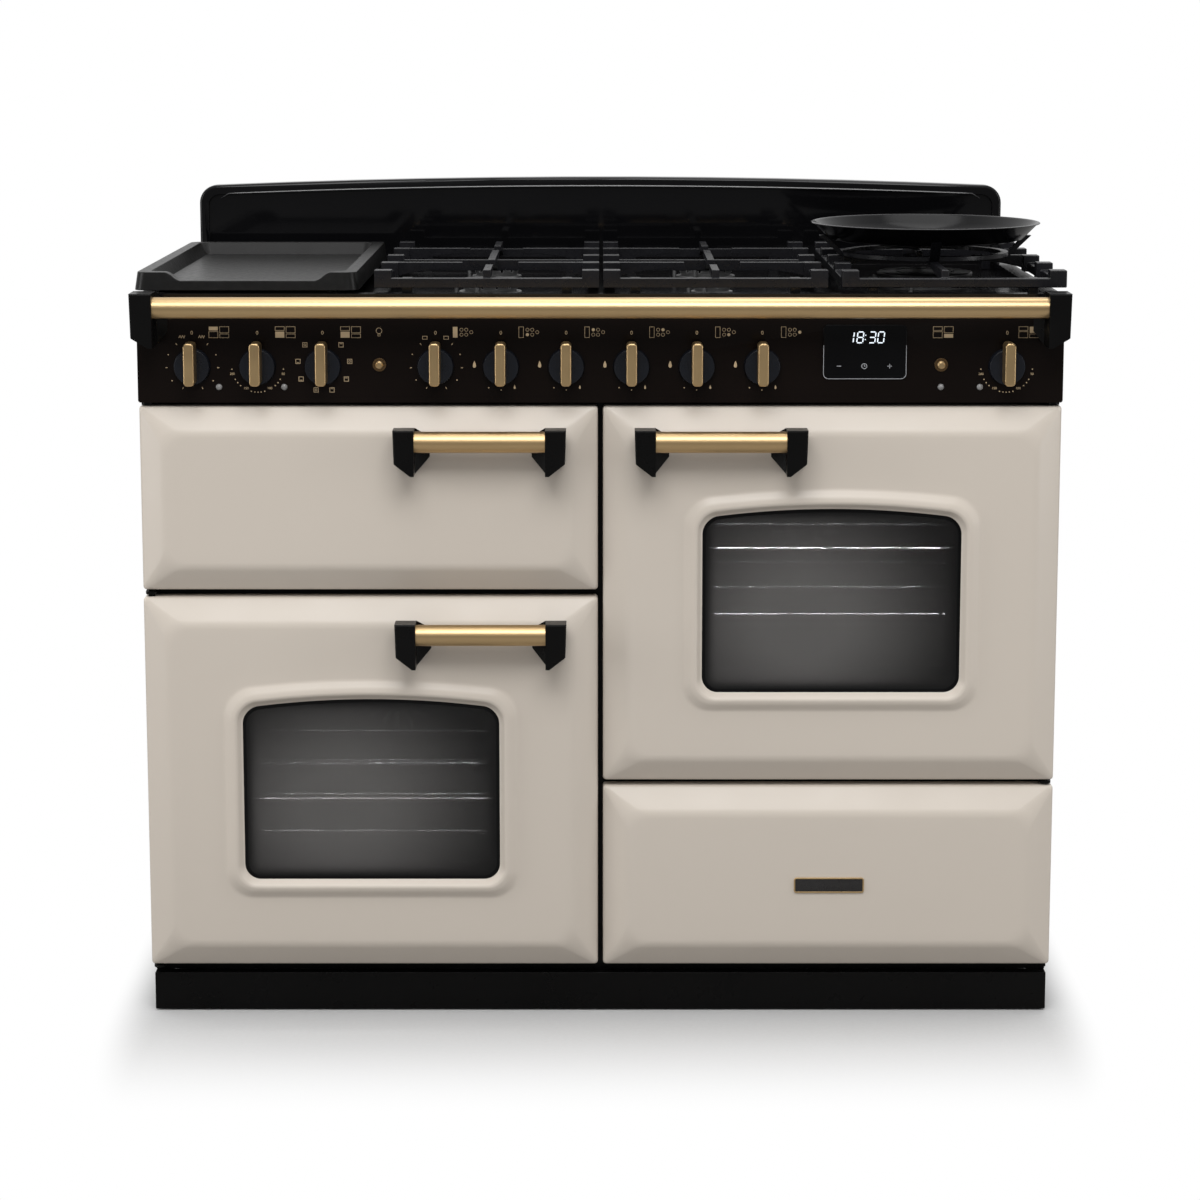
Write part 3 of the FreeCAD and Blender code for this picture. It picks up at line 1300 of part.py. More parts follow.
def terminal_box():
    """Moulded box in the back panel's opening, with a cable gland flush in its cover."""
    w, h, d = terminal_size
    wall, gland_end = 3.0, 8.0
    x0, x1 = terminal_x - w / 2, terminal_x + w / 2
    z0, z1 = terminal_z - h / 2, terminal_z + h / 2
    box = block(x0, x1, y_back - d, y_back, z0, z1)
    room = block(x0 + wall, x1 - wall, y_back - d + wall, y_back - wall, z0 + wall, z1 - wall)
    entry = V(terminal_x, y_back, terminal_z - h / 4)
    inside = entry - V(0, d - gland_end, 0)
    past = V(0, 1, 0)
    hole = rod(gland_radius, inside, entry + past)
    gland = rod(gland_radius, inside, entry).cut(rod(gland_bore, inside - past, entry + past))
    return union([box.cut(room).cut(hole), gland])


save("gas_pipework", gas_pipework())
save("terminal_box", terminal_box())
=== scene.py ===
import json
import math

import bmesh
import bpy
import numpy as np
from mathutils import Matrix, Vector

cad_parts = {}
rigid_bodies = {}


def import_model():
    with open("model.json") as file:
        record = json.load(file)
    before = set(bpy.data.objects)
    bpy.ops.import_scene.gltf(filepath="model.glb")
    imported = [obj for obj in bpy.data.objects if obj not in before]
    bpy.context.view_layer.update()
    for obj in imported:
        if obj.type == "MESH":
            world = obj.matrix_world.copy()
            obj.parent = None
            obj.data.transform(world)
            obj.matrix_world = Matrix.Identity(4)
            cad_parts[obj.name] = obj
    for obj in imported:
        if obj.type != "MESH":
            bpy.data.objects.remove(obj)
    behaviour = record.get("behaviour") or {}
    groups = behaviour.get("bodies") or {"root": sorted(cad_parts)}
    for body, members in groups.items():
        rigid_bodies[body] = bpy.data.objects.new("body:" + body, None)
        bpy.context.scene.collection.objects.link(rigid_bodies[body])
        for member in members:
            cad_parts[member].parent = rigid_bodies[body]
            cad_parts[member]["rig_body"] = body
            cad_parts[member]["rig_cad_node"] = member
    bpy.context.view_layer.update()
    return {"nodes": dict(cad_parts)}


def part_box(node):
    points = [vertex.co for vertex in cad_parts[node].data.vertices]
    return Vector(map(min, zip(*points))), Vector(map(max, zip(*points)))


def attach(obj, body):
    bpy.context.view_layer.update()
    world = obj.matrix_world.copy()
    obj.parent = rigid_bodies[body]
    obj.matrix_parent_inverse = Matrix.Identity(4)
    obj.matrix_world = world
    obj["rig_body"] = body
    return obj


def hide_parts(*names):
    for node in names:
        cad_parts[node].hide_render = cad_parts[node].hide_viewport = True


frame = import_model()

# ---- camera --------------------------------------------------------------------------------------
# The cooker is photographed from straight in front at chest height, with a long lens that is tilted
# down a little and shifted so that the uprights stay nearly parallel.
camera = bpy.data.objects.new("camera", bpy.data.cameras.new("camera"))
bpy.context.scene.collection.objects.link(camera)
camera.location = (0.0, -3.695, 1.198)
camera.rotation_euler = (math.radians(90.0 - 8.488), 0.0, 0.0)
camera.data.sensor_width = 36.0
camera.data.lens = 87.88
camera.data.shift_x = -0.00033
camera.data.shift_y = -0.12
bpy.context.scene.camera = camera
bpy.context.scene.view_settings.view_transform = "Standard"

# ---- studio --------------------------------------------------------------------------------------
# A white paper floor that runs out of sight, a pale room round it, one large soft box over the cook's
# head and a weak strip on each side, so that the doors fall away in tone from top to bottom.


def nodes_of(owner):
    """Empties a node tree, and gives a function that adds a node to it with its settings and inputs.
    An input goes by its name, with _ for a space, or by its number, as in0, in1 and so on."""
    owner.use_nodes = True
    tree = owner.node_tree
    tree.nodes.clear()

    def add(kind, settings=(), **inputs):
        node = tree.nodes.new("ShaderNode" + kind)
        for key, value in dict(settings).items():
            setattr(node, key, value)
        for key, value in inputs.items():
            socket = node.inputs[int(key[2:]) if key.startswith("in") else key.replace("_", " ")]
            if isinstance(value, bpy.types.NodeSocket):
                tree.links.new(value, socket)
            else:
                socket.default_value = value
        return node

    return add


SMOOTH = {"interpolation_type": "SMOOTHSTEP"}


def paper_floor():
    """White paper with a painted shadow: close round the cooker's foot it is mid grey and takes the cooker's
    real shadow, and it fades by distance to plain white further out, so the paper is painted darker round the
    foot.
    The distance from the cooker's footprint counts several times over at its sides."""
    footprint, weights = (0.53, 0.24, 0.0), (5.0, 1.0, 0.0)
    painted_shadow_from, painted_shadow_to = 0.03, 0.36
    half_width = 14.0
    paper = bpy.data.materials.new("paper")
    add = nodes_of(paper)
    where = add("TexCoord").outputs["Object"]
    outward = add("VectorMath", {"operation": "ABSOLUTE"}, in0=where).outputs["Vector"]
    outward = add("VectorMath", {"operation": "SUBTRACT"}, in0=outward, in1=footprint).outputs["Vector"]
    outward = add("VectorMath", {"operation": "MAXIMUM"}, in0=outward, in1=(0.0, 0.0, 0.0)).outputs["Vector"]
    outward = add("VectorMath", {"operation": "MULTIPLY"}, in0=outward, in1=weights).outputs["Vector"]
    away = add("VectorMath", {"operation": "LENGTH"}, in0=outward).outputs["Value"]
    # painted shadow: grey paper close to the footprint, blending by distance into white emission further out
    far = add("MapRange", SMOOTH, Value=away, From_Min=painted_shadow_from, From_Max=painted_shadow_to)
    fibres = add("TexNoise", Vector=where, Scale=180.0, Detail=3.0).outputs["Fac"]
    tone = add("MapRange", Value=fibres, To_Min=0.50, To_Max=0.55).outputs["Result"]
    shade = add("CombineColor", in0=tone, in1=tone, in2=tone)
    painted_shade_paper = add("BsdfDiffuse", Color=shade.outputs["Color"])
    white = add("Emission", Color=(1.0, 1.0, 1.0, 1.0), Strength=1.0)
    seen = add("MixShader", Fac=far.outputs["Result"], in1=painted_shade_paper.outputs["BSDF"], in2=white.outputs["Emission"])
    grey = add("BsdfDiffuse", Color=(0.34, 0.335, 0.33, 1.0))
    path = add("LightPath")
    direct = add("Math", {"operation": "MAXIMUM"}, in0=path.outputs["Is Camera Ray"],
                 in1=path.outputs["Is Transmission Ray"])
    mixed = add("MixShader", Fac=direct.outputs[0], in1=grey.outputs["BSDF"], in2=seen.outputs["Shader"])
    add("OutputMaterial", Surface=mixed.outputs["Shader"])
    mesh = bpy.data.meshes.new("floor")
    corners = [(-half_width, -half_width, 0), (half_width, -half_width, 0),
               (half_width, half_width, 0), (-half_width, half_width, 0)]
    mesh.from_pydata(corners, [], [(0, 1, 2, 3)])
    mesh.materials.append(paper)
    floor = bpy.data.objects.new("floor", mesh)
    bpy.context.scene.collection.objects.link(floor)
    return floor


def room():
    """Pale walls as light by direction: bright above and behind, dimmer in front and below, and plain
    white where the camera sees them."""
    world = bpy.data.worlds.new("studio")
    bpy.context.scene.world = world
    add = nodes_of(world)
    way = add("SeparateXYZ", Vector=add("TexCoord").outputs["Generated"])
    up = add("MapRange", SMOOTH, Value=way.outputs["Z"], From_Min=-0.1, From_Max=0.9, To_Min=0.18, To_Max=0.85)
    back = add("MapRange", SMOOTH, Value=way.outputs["Y"], From_Min=-0.1, From_Max=0.8, To_Max=0.42)
    left = add("MapRange", Value=way.outputs["X"], From_Min=-1.0, From_Max=1.0, To_Min=0.10, To_Max=-0.06)
    level = add("Math", {"operation": "ADD"}, in0=up.outputs["Result"], in1=back.outputs["Result"])
    level = add("Math", {"operation": "ADD"}, in0=level.outputs[0], in1=left.outputs["Result"])
    seen = add("LightPath").outputs["Is Camera Ray"]
    strength = add("Mix", {"data_type": "FLOAT"}, in0=seen, in2=level.outputs[0], in3=1.0)
    light = add("Background", Color=(1.0, 1.0, 1.0, 1.0), Strength=strength.outputs[0])
    add("OutputWorld", Surface=light.outputs["Background"])


def lamp(name, spot, size, watts, aim=None, spread=180.0):
    """Rectangular lamp, aimed at a point or straight down."""
    light = bpy.data.lights.new(name, "AREA")
    light.shape = "RECTANGLE"
    light.size, light.size_y = size
    light.energy = watts
    light.spread = math.radians(spread)
    holder = bpy.data.objects.new(name, light)
    holder.location = spot
    if aim:
        holder.rotation_euler = (Vector(aim) - Vector(spot)).to_track_quat("-Z", "Y").to_euler()
    bpy.context.scene.collection.objects.link(holder)


paper_floor()
room()
lamp("soft_box", (-0.05, -2.1, 2.7), (2.0, 1.2), 46.0, aim=(0.0, -0.3, 0.62))
lamp("left_strip", (-2.5, -0.9, 1.1), (0.6, 1.8), 16.0, aim=(-0.4, -0.3, 0.6))
lamp("right_strip", (2.5, -1.1, 1.1), (0.6, 1.8), 13.0, aim=(0.4, -0.3, 0.6))
lamp("top_panel", (0.1, -0.1, 2.9), (2.0, 1.0), 16.0, aim=(0.0, 0.0, 0.9))

# ---- casing --------------------------------------------------------------------------------------
# Folded steel sheet, spot welded: side panels, face frame with the hinge arms, and the plinth under
# it, all in black vitreous enamel. The back, the base pan and the centre divider are galvanised.


def finish(name, colour, rough, drift=0.08, drift_scale=5.0, grain=0.0, grain_scale=500.0,
           stretch=(1.0, 1.0, 1.0), **sockets):
    """Procedural finish: slow drift of tone, quicker drift of roughness, and a fine grain as bump."""
    material = bpy.data.materials.new(name)
    add = nodes_of(material)
    where = add("Mapping", Vector=add("TexCoord").outputs["Object"], Scale=stretch).outputs["Vector"]
    slow = add("TexNoise", Vector=where, Scale=drift_scale, Detail=3.0).outputs["Fac"]
    tone = add("ValToRGB", Fac=slow)
    for stop, share in zip(tone.color_ramp.elements, (1.0 - drift, 1.0 + drift)):
        stop.position = 0.35 if share < 1.0 else 0.65
        stop.color = [min(1.0, c * share) for c in colour] + [1.0]
    quick = add("TexNoise", Vector=where, Scale=drift_scale * 9.0, Detail=4.0).outputs["Fac"]
    sheen = add("MapRange", Value=quick, From_Min=0.3, From_Max=0.7, To_Min=rough * 0.85, To_Max=rough * 1.15)
    fine = add("TexNoise", Vector=where, Scale=grain_scale, Detail=3.0).outputs["Fac"]
    bump = add("Bump", Strength=grain, Distance=0.0004, Height=fine)
    shader = add("BsdfPrincipled", Base_Color=tone.outputs["Color"], Roughness=sheen.outputs["Result"],
                 Normal=bump.outputs["Normal"], **sockets)
    add("OutputMaterial", Surface=shader.outputs["BSDF"])
    return material


def keep_node(node, material):
    """A CAD piece whose shape is right as it is gets its finish."""
    owner = frame["nodes"][node]
    owner.data.materials.clear()
    owner.data.materials.append(material)


def body_of(node):
    """The moving or fixed body that a CAD piece belongs to."""
    return frame["nodes"][node]["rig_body"]


def bevel_ready(mesh, crease):
    """Merges a mesh's loose triangles, joins those that lie flat, and smooths its curved faces."""
    merge_within, flat_within = 2e-6, math.radians(0.4)
    work = bmesh.new()
    work.from_mesh(mesh)
    bmesh.ops.remove_doubles(work, verts=work.verts, dist=merge_within)
    bmesh.ops.dissolve_degenerate(work, edges=work.edges, dist=merge_within)
    bmesh.ops.dissolve_limit(work, angle_limit=flat_within, verts=work.verts, edges=work.edges)
    work.to_mesh(mesh)
    work.free()
    mesh.polygons.foreach_set("use_smooth", np.ones(len(mesh.polygons), bool))
    mesh.set_sharp_from_angle(angle=math.radians(crease))


def faces_within(mesh, test):
    """1 for each face whose corners all pass a test of points, and 0 for the others."""
    points = np.empty(3 * len(mesh.vertices))
    mesh.vertices.foreach_get("co", points)
    corners, starts = np.empty(len(mesh.loops), int), np.empty(len(mesh.polygons), int)
    mesh.loops.foreach_get("vertex_index", corners)
    mesh.polygons.foreach_get("loop_start", starts)
    passed = test(points.reshape(-1, 3))[corners]
    return np.minimum.reduceat(passed, starts).astype(int)


def softened(node, material, width, crease=35.0, second=None):
    """A CAD piece with its edges broken: its mesh merged, flat faces joined, and edges bevelled.
    second is another material and a test of points: it goes on the faces whose corners all pass."""
    piece = frame["nodes"][node].copy()
    piece.data = piece.data.copy()
    piece.name = piece.data.name = node + "_finished"
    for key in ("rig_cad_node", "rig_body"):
        del piece[key]
    piece.parent = None
    bpy.context.scene.collection.objects.link(piece)
    bevel_ready(piece.data, crease)
    piece.data.materials.clear()
    piece.data.materials.append(material)
    if second:
        piece.data.materials.append(second[0])
        piece.data.polygons.foreach_set("material_index", faces_within(piece.data, second[1]))
    if width:
        bevel = piece.modifiers.new("broken_edges", "BEVEL")
        bevel.width = width
        bevel.segments = 2
        bevel.limit_method = "ANGLE"
        bevel.angle_limit = math.radians(crease)
        bevel.harden_normals = True
        bevel.miter_outer = "MITER_ARC"
    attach(piece, body_of(node))
    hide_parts(node)


black_enamel = finish("black_enamel", (0.0032, 0.0030, 0.0033), 0.16, drift=0.15, grain=0.04,
                      grain_scale=90.0, Specular_IOR_Level=0.20)
frame_enamel = finish("frame_enamel", (0.0032, 0.0031, 0.0031), 0.30, drift=0.15, grain=0.06,
                      grain_scale=120.0, Specular_IOR_Level=0.10)
zinc = finish("zinc_coating", (0.52, 0.53, 0.54), 0.42, drift=0.16, drift_scale=38.0, grain=0.08,
              grain_scale=60.0, Metallic=0.85)
foot_plastic = finish("foot_plastic", (0.018, 0.018, 0.018), 0.55, grain=0.2, grain_scale=900.0)
softened("side_panels", frame_enamel, 0.0006)
softened("front_frame", frame_enamel, 0.0)
softened("plinth", frame_enamel, 0.0008)
keep_node("back_panel", zinc)
softened("base_frame", zinc, 0.0)
softened("levelling_feet", foot_plastic, 0.0008)

# ---- hob -----------------------------------------------------------------------------------------
# One deep-drawn spillage tray in glossy black enamel, hooked over the casing, with the glass-ceramic
# plate of the griddle zone let into it and five cast burners screwed through it.
alloy = finish("burner_alloy", (0.20, 0.20, 0.20), 0.5, drift=0.12, drift_scale=40.0, grain=0.3,
               grain_scale=1400.0, Metallic=1.0)
cap_enamel = finish("cap_enamel", (0.006, 0.006, 0.006), 0.38, drift=0.2, grain=0.25, grain_scale=700.0,
                    Specular_IOR_Level=0.3)
ceramic = finish("glass_ceramic", (0.008, 0.008, 0.008), 0.08, drift=0.1, Specular_IOR_Level=0.5)
softened("hob_tray", black_enamel, 0.0012)
softened("ceramic_zone", ceramic, 0.0008)
softened("burner_bodies", alloy, 0.0004)
softened("burner_caps", cap_enamel, 0.0006)

# ---- pan supports, griddle, cradle and wok -------------------------------------------------------
# Iron castings in matt black enamel: three supports standing on the hob tray, the griddle plate, and
# the cradle that steadies the wok. The wok is spun steel, oiled nearly black.
iron = finish("cast_iron", (0.0052, 0.0052, 0.0068), 0.30, drift=0.22, drift_scale=22.0, grain=0.20,
              grain_scale=900.0, Specular_IOR_Level=0.34)
griddle_iron = finish("griddle_iron", (0.0045, 0.0044, 0.0043), 0.34, drift=0.25, drift_scale=16.0,
                      grain=0.25, grain_scale=700.0, Specular_IOR_Level=0.22)
wok_steel = finish("wok_steel", (0.0030, 0.0030, 0.0034), 0.17, drift=0.2, drift_scale=14.0, grain=0.02,
                   grain_scale=300.0, Specular_IOR_Level=0.14)
for side in ("left", "middle", "right"):
    softened(side + "_pan_support", iron, 0.0013)
softened("griddle", griddle_iron, 0.0018, crease=25.0)
softened("wok_cradle", iron, 0.0010)
WOK_AXIS = (407.0, 245.0)
WOK_OUTSIDE = [(60, 922.0), (86, 922.0), (98, 922.4), (108.2, 923.4), (116, 924.9), (122, 927.0),
               (131, 936.3), (139.6, 945.1), (141.2, 945.5), (142.6, 945.6), (143.0, 946.0),
               (142.6, 946.6), (141.5, 947.0)]
WOK_INSIDE = [(139.4, 947.0), (138.2, 946.4), (136.9, 945.2), (129, 937.2), (121.4, 929.9), (115, 927.4),
              (107, 925.9), (97.5, 924.9), (86, 924.5), (60, 924.5)]
DOOR_PLANE = 265.0                        # the door edges lie this far in front of the cooker's middle


def place(points):
    """Millimetres measured from the plane of the door edges, as metres in the cooker's frame."""
    return (np.asarray(points, float) - (0.0, DOOR_PLANE, 0.0)) * 0.001


def surface(name, patches, material, body, stands_for=(), crease=30.0):
    """A piece from patches. Each is a grid of points whose rows are closed, with a face over its first or
    last row where it says so; a looped patch's last row joins its first."""
    points, faces, first = [], [], 0
    for grid, start_cap, end_cap, loop in patches:
        rows, count, _ = grid.shape
        here = first + np.arange(rows * count).reshape(rows, count)
        low, high = (here, np.roll(here, -1, 0)) if loop else (here[:-1], here[1:])
        ahead_low, ahead_high = np.roll(low, -1, 1), np.roll(high, -1, 1)
        faces += np.stack([low, ahead_low, ahead_high, high], -1).reshape(-1, 4).tolist()
        if start_cap:
            faces.append(here[0, ::-1].tolist())
        if end_cap:
            faces.append(here[-1].tolist())
        points.append(grid.reshape(-1, 3))
        first += rows * count
    mesh = bpy.data.meshes.new(name)
    mesh.from_pydata(np.concatenate(points).tolist(), [], faces)
    mesh.polygons.foreach_set("use_smooth", np.ones(len(mesh.polygons), bool))
    mesh.set_sharp_from_angle(angle=math.radians(crease))
    mesh.materials.append(material)
    piece = bpy.data.objects.new(name, mesh)
    bpy.context.scene.collection.objects.link(piece)
    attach(piece, body)
    if stands_for:
        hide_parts(*stands_for)


def turned(profile, axis, count=128):
    """Rows of points round an upright axis, one for each radius and height of a profile."""
    angle = np.linspace(0.0, 2 * math.pi, count, endpoint=False)
    radius, height = np.asarray(profile, float).T
    x = axis[0] + radius[:, None] * np.cos(angle)
    y = axis[1] + radius[:, None] * np.sin(angle)
    return np.stack([x, y, np.repeat(height[:, None], count, 1)], -1)


wok_rows = turned(WOK_OUTSIDE + WOK_INSIDE, WOK_AXIS)
surface("spun_wok", [(place(wok_rows), True, True, False)], wok_steel, body_of("wok"), ["wok"])

# ---- backguard -----------------------------------------------------------------------------------
# Pressed upstand with an arched top and a rolled border, in the same glossy enamel as the hob. A fine
# bead runs inside the border and catches the light.
guard_enamel = finish("guard_enamel", (0.0026, 0.0026, 0.0030), 0.06, drift=0.15, grain=0.015,
                      grain_scale=60.0, Specular_IOR_Level=0.24)
softened("backguard", guard_enamel, 0.0010, crease=25.0)


def guard_bead(front):
    """Half-round bead under the arched top: a ring of points carried from side to side along an arch that
    falls by the square of the place across, shrinking at its ends, where it also turns down."""
    half_length, radius, sunk = 517.0, 1.3, 0.1
    arch_top, arch_fall, arch_half = 973.0, 12.0, 546.0
    end_share, end_fall = 0.985, 6.0
    across = np.linspace(-1.0, 1.0, 97)
    x = half_length * across
    ending = np.clip((np.abs(across) - end_share) / (1.0 - end_share), 0, 1)
    height = arch_top - arch_fall * (x / arch_half) ** 2 - end_fall * ending ** 2
    turn = np.linspace(0.0, 2 * math.pi, 10, endpoint=False)
    size = radius * np.sqrt(np.clip(1.0 - np.abs(across) ** 40, 0.02, 1))
    y = front + sunk - size[:, None] * np.cos(turn)
    z = height[:, None] + size[:, None] * np.sin(turn)
    return np.stack([np.repeat(x[:, None], len(turn), 1), y, z], -1)


guard_shine = finish("guard_shine", (0.012, 0.012, 0.013), 0.30, drift=0.1, drift_scale=60.0,
                     Specular_IOR_Level=1.0)
guard_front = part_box("backguard")[0][1] * 1000.0 + DOOR_PLANE
surface("guard_bead", [(place(guard_bead(guard_front)), True, True, False)], guard_shine,
        body_of("backguard"))

# ---- fascia --------------------------------------------------------------------------------------
# Folded steel panel in brown-black enamel, fired again with the gold print. The clock's glass tile lies
# on it, and brass rings and neon lamps are pressed into it from the front.
fascia_enamel = finish("fascia_enamel", (0.0058, 0.0038, 0.0031), 0.22, drift=0.12, grain=0.02,
                       grain_scale=70.0, Specular_IOR_Level=0.09)
lens = finish("lamp_lens", (0.20, 0.20, 0.20), 0.22, drift=0.1, drift_scale=300.0)
tile_glass = finish("tile_glass", (0.0025, 0.0026, 0.0030), 0.05, drift=0.1, drift_scale=30.0,
                    Specular_IOR_Level=0.12)
bezel_bronze = finish("bezel_bronze", (0.16, 0.10, 0.05), 0.30, drift=0.1, drift_scale=60.0, Metallic=1.0)
switch_plastic = finish("switch_plastic", (0.02, 0.02, 0.022), 0.5, grain=0.1)
brass = finish("brass", (0.53, 0.375, 0.195), 0.36, drift=0.03, drift_scale=3.0, grain=0.02,
               grain_scale=160.0, stretch=(0.05, 1.0, 1.0), Metallic=1.0)
softened("fascia", fascia_enamel, 0.0005)
ABOVE_LAMPS = 0.7855                      # the buttons' rings are above this height, the lamps below it
softened("lamps_and_bezels", lens, 0.0004,
         second=(bezel_bronze, lambda points: points[:, 2] > ABOVE_LAMPS))
softened("control_switches", switch_plastic, 0.0005)
softened("clock_module", tile_glass, 0.0006)
softened("oven_light_button", brass, 0.0003)
softened("proving_drawer_button", brass, 0.0003)
KNOBS = {"grill_knob": -480.2, "left_oven_thermostat_knob": -403.4, "left_oven_function_knob": -326.6,
         "griddle_knob": -193.8, "gas_tap_knob_1": -117.0, "gas_tap_knob_2": -40.2, "gas_tap_knob_3": 36.6,
         "gas_tap_knob_4": 113.4, "gas_tap_knob_5": 190.2, "right_oven_thermostat_knob": 478.1}
KNOB_HEIGHT, ICON_HEIGHT = 793.4, 833.9   # heights of the knobs' spindles and of the icons over them
PANEL_FACE = -5.05                        # where the print lies, just in front of the panel
TILE_FACE = -6.86                         # and just in front of the clock's glass tile
CLOCK = (311.0, 810.6)


def ribbon(path, width, closed=False):
    """Flat line of a width along a row of points on the panel, mitred at its corners."""
    path = np.asarray(path, float)
    ahead = np.roll(path, -1, 0) - path
    ahead /= np.linalg.norm(ahead, axis=1)[:, None] + 1e-12
    behind = np.roll(ahead, 1, 0)
    if not closed:
        ahead[-1], behind[0] = ahead[-2], ahead[0]
    across = np.stack([-(ahead + behind)[:, 1], (ahead + behind)[:, 0]], 1)
    across /= np.linalg.norm(across, axis=1)[:, None]
    square = np.stack([-ahead[:, 1], ahead[:, 0]], 1)
    reach = across * (width / 2 / np.maximum(0.3, (across * square).sum(1)))[:, None]
    points = np.stack([path - reach, path + reach], 1).reshape(-1, 2)
    here = np.arange(len(path) if closed else len(path) - 1)
    there = (here + 1) % len(path)
    return points, np.stack([2 * here, 2 * there, 2 * there + 1, 2 * here + 1], 1).tolist()


def filled(outline):
    """Flat patch inside an outline."""
    return np.asarray(outline, float), [list(range(len(outline)))]


def round_path(x, z, radius, count):
    """Points round a circle on the panel."""
    angle = np.linspace(0.0, 2 * math.pi, count, endpoint=False)
    return np.stack([x + radius * np.cos(angle), z + radius * np.sin(angle)], 1)


def oblong(x, z, width, height):
    """Corners of an upright rectangle round a middle."""
    w, h = width / 2, height / 2
    return np.array([(x - w, z - h), (x + w, z - h), (x + w, z + h), (x - w, z + h)])


def figures(text, x, z, tall):
    """Plain figures as flat faces on the panel."""
    curve = bpy.data.curves.new("figures", "FONT")
    curve.body, curve.size, curve.align_x, curve.align_y = text, tall * 1.4, "CENTER", "CENTER"
    curve.resolution_u = 3
    holder = bpy.data.objects.new("figures", curve)
    bpy.context.scene.collection.objects.link(holder)
    flat = bpy.data.meshes.new_from_object(holder.evaluated_get(bpy.context.evaluated_depsgraph_get()))
    points = np.empty(3 * len(flat.vertices))
    flat.vertices.foreach_get("co", points)
    faces = [list(face.vertices) for face in flat.polygons]
    bpy.data.objects.remove(holder)
    bpy.data.curves.remove(curve)
    bpy.data.meshes.remove(flat)
    return points.reshape(-1, 3)[:, :2] + (x, z), faces


def printed(name, marks, depth, material, body):
    """One flat piece from many marks, facing the cook."""
    points, faces, first = [], [], 0
    for spots, shapes in marks:
        points.append(spots)
        faces += [[first + corner for corner in shape] for shape in shapes]
        first += len(spots)
    flat = np.concatenate(points)
    spots = place(np.stack([flat[:, 0], np.full(len(flat), depth), flat[:, 1]], 1))
    mesh = bpy.data.meshes.new(name)
    mesh.from_pydata(spots.tolist(), [], faces)
    mesh.materials.append(material)
    piece = bpy.data.objects.new(name, mesh)
    bpy.context.scene.collection.objects.link(piece)
    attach(piece, body)


def compartment_mark(x, full):
    """The cooker's four compartments as separate cells, one of them filled."""
    marks = []
    for column, row, tall in ((-1, 1, 4.4), (-1, -1, 7.2), (1, 1, 7.2), (1, -1, 4.4)):
        cell = oblong(x + column * 6.4, ICON_HEIGHT + row * (6.5 - tall / 2), 10.6, tall)
        marks.append(filled(cell) if (column, row) == full else ribbon(cell, 0.45, True))
    return marks


def hob_mark(x, full):
    """Hob from above: griddle, two pairs of burners and the wok burner, one of them filled."""
    spots = [(-1.3, -2.9), (-1.3, 2.9), (4.3, 2.9), (4.3, -2.9), (10.2, 0.0)]
    plate = oblong(x - 8.7, ICON_HEIGHT, 5.4, 12.6)
    marks = [filled(plate) if full == 0 else ribbon(plate, 0.45, True)]
    for number, (dx, dz) in enumerate(spots, 1):
        ring = round_path(x + dx, ICON_HEIGHT + dz, 1.9, 12)
        marks.append(filled(ring) if full == number else ribbon(ring, 0.42, True))
    return marks


def around(x, pairs, kind):
    """Marks round a knob: dots, or ticks that point at its spindle."""
    dot_radius, half_tick = 0.75, 1.2
    marks = []
    for dx, z in pairs:
        spot = np.array((x + dx, z))
        outward = np.array((dx, z - KNOB_HEIGHT)) / math.hypot(dx, z - KNOB_HEIGHT)
        marks.append(filled(round_path(*spot, dot_radius, 10)) if kind == "dot" else
                     ribbon([spot - half_tick * outward, spot + half_tick * outward], 0.8))
    return marks


def flame(x, z, tall):
    """A gas flame: round below and drawn out to a point above."""
    t = np.linspace(0.0, 2 * math.pi, 18, endpoint=False)
    wide = tall * 0.34 * np.sin(t) * (0.62 + 0.38 * np.cos(t))
    return filled(np.stack([x + wide, z - tall / 2 * np.cos(t)], 1))


def zigzag(x, z):
    """A grill element seen from in front."""
    steps = ((-3.6, -1.4), (-2.2, 1.4), (-0.8, -1.4), (0.8, 1.4), (2.2, -1.4), (3.6, 1.4))
    return ribbon([(x + dx, z + dz) for dx, dz in steps], 0.7)


def both_sides(pairs):
    """The same places to the left and to the right of a knob."""
    return [(side * dx, z) for side in (-1, 1) for dx, z in pairs]


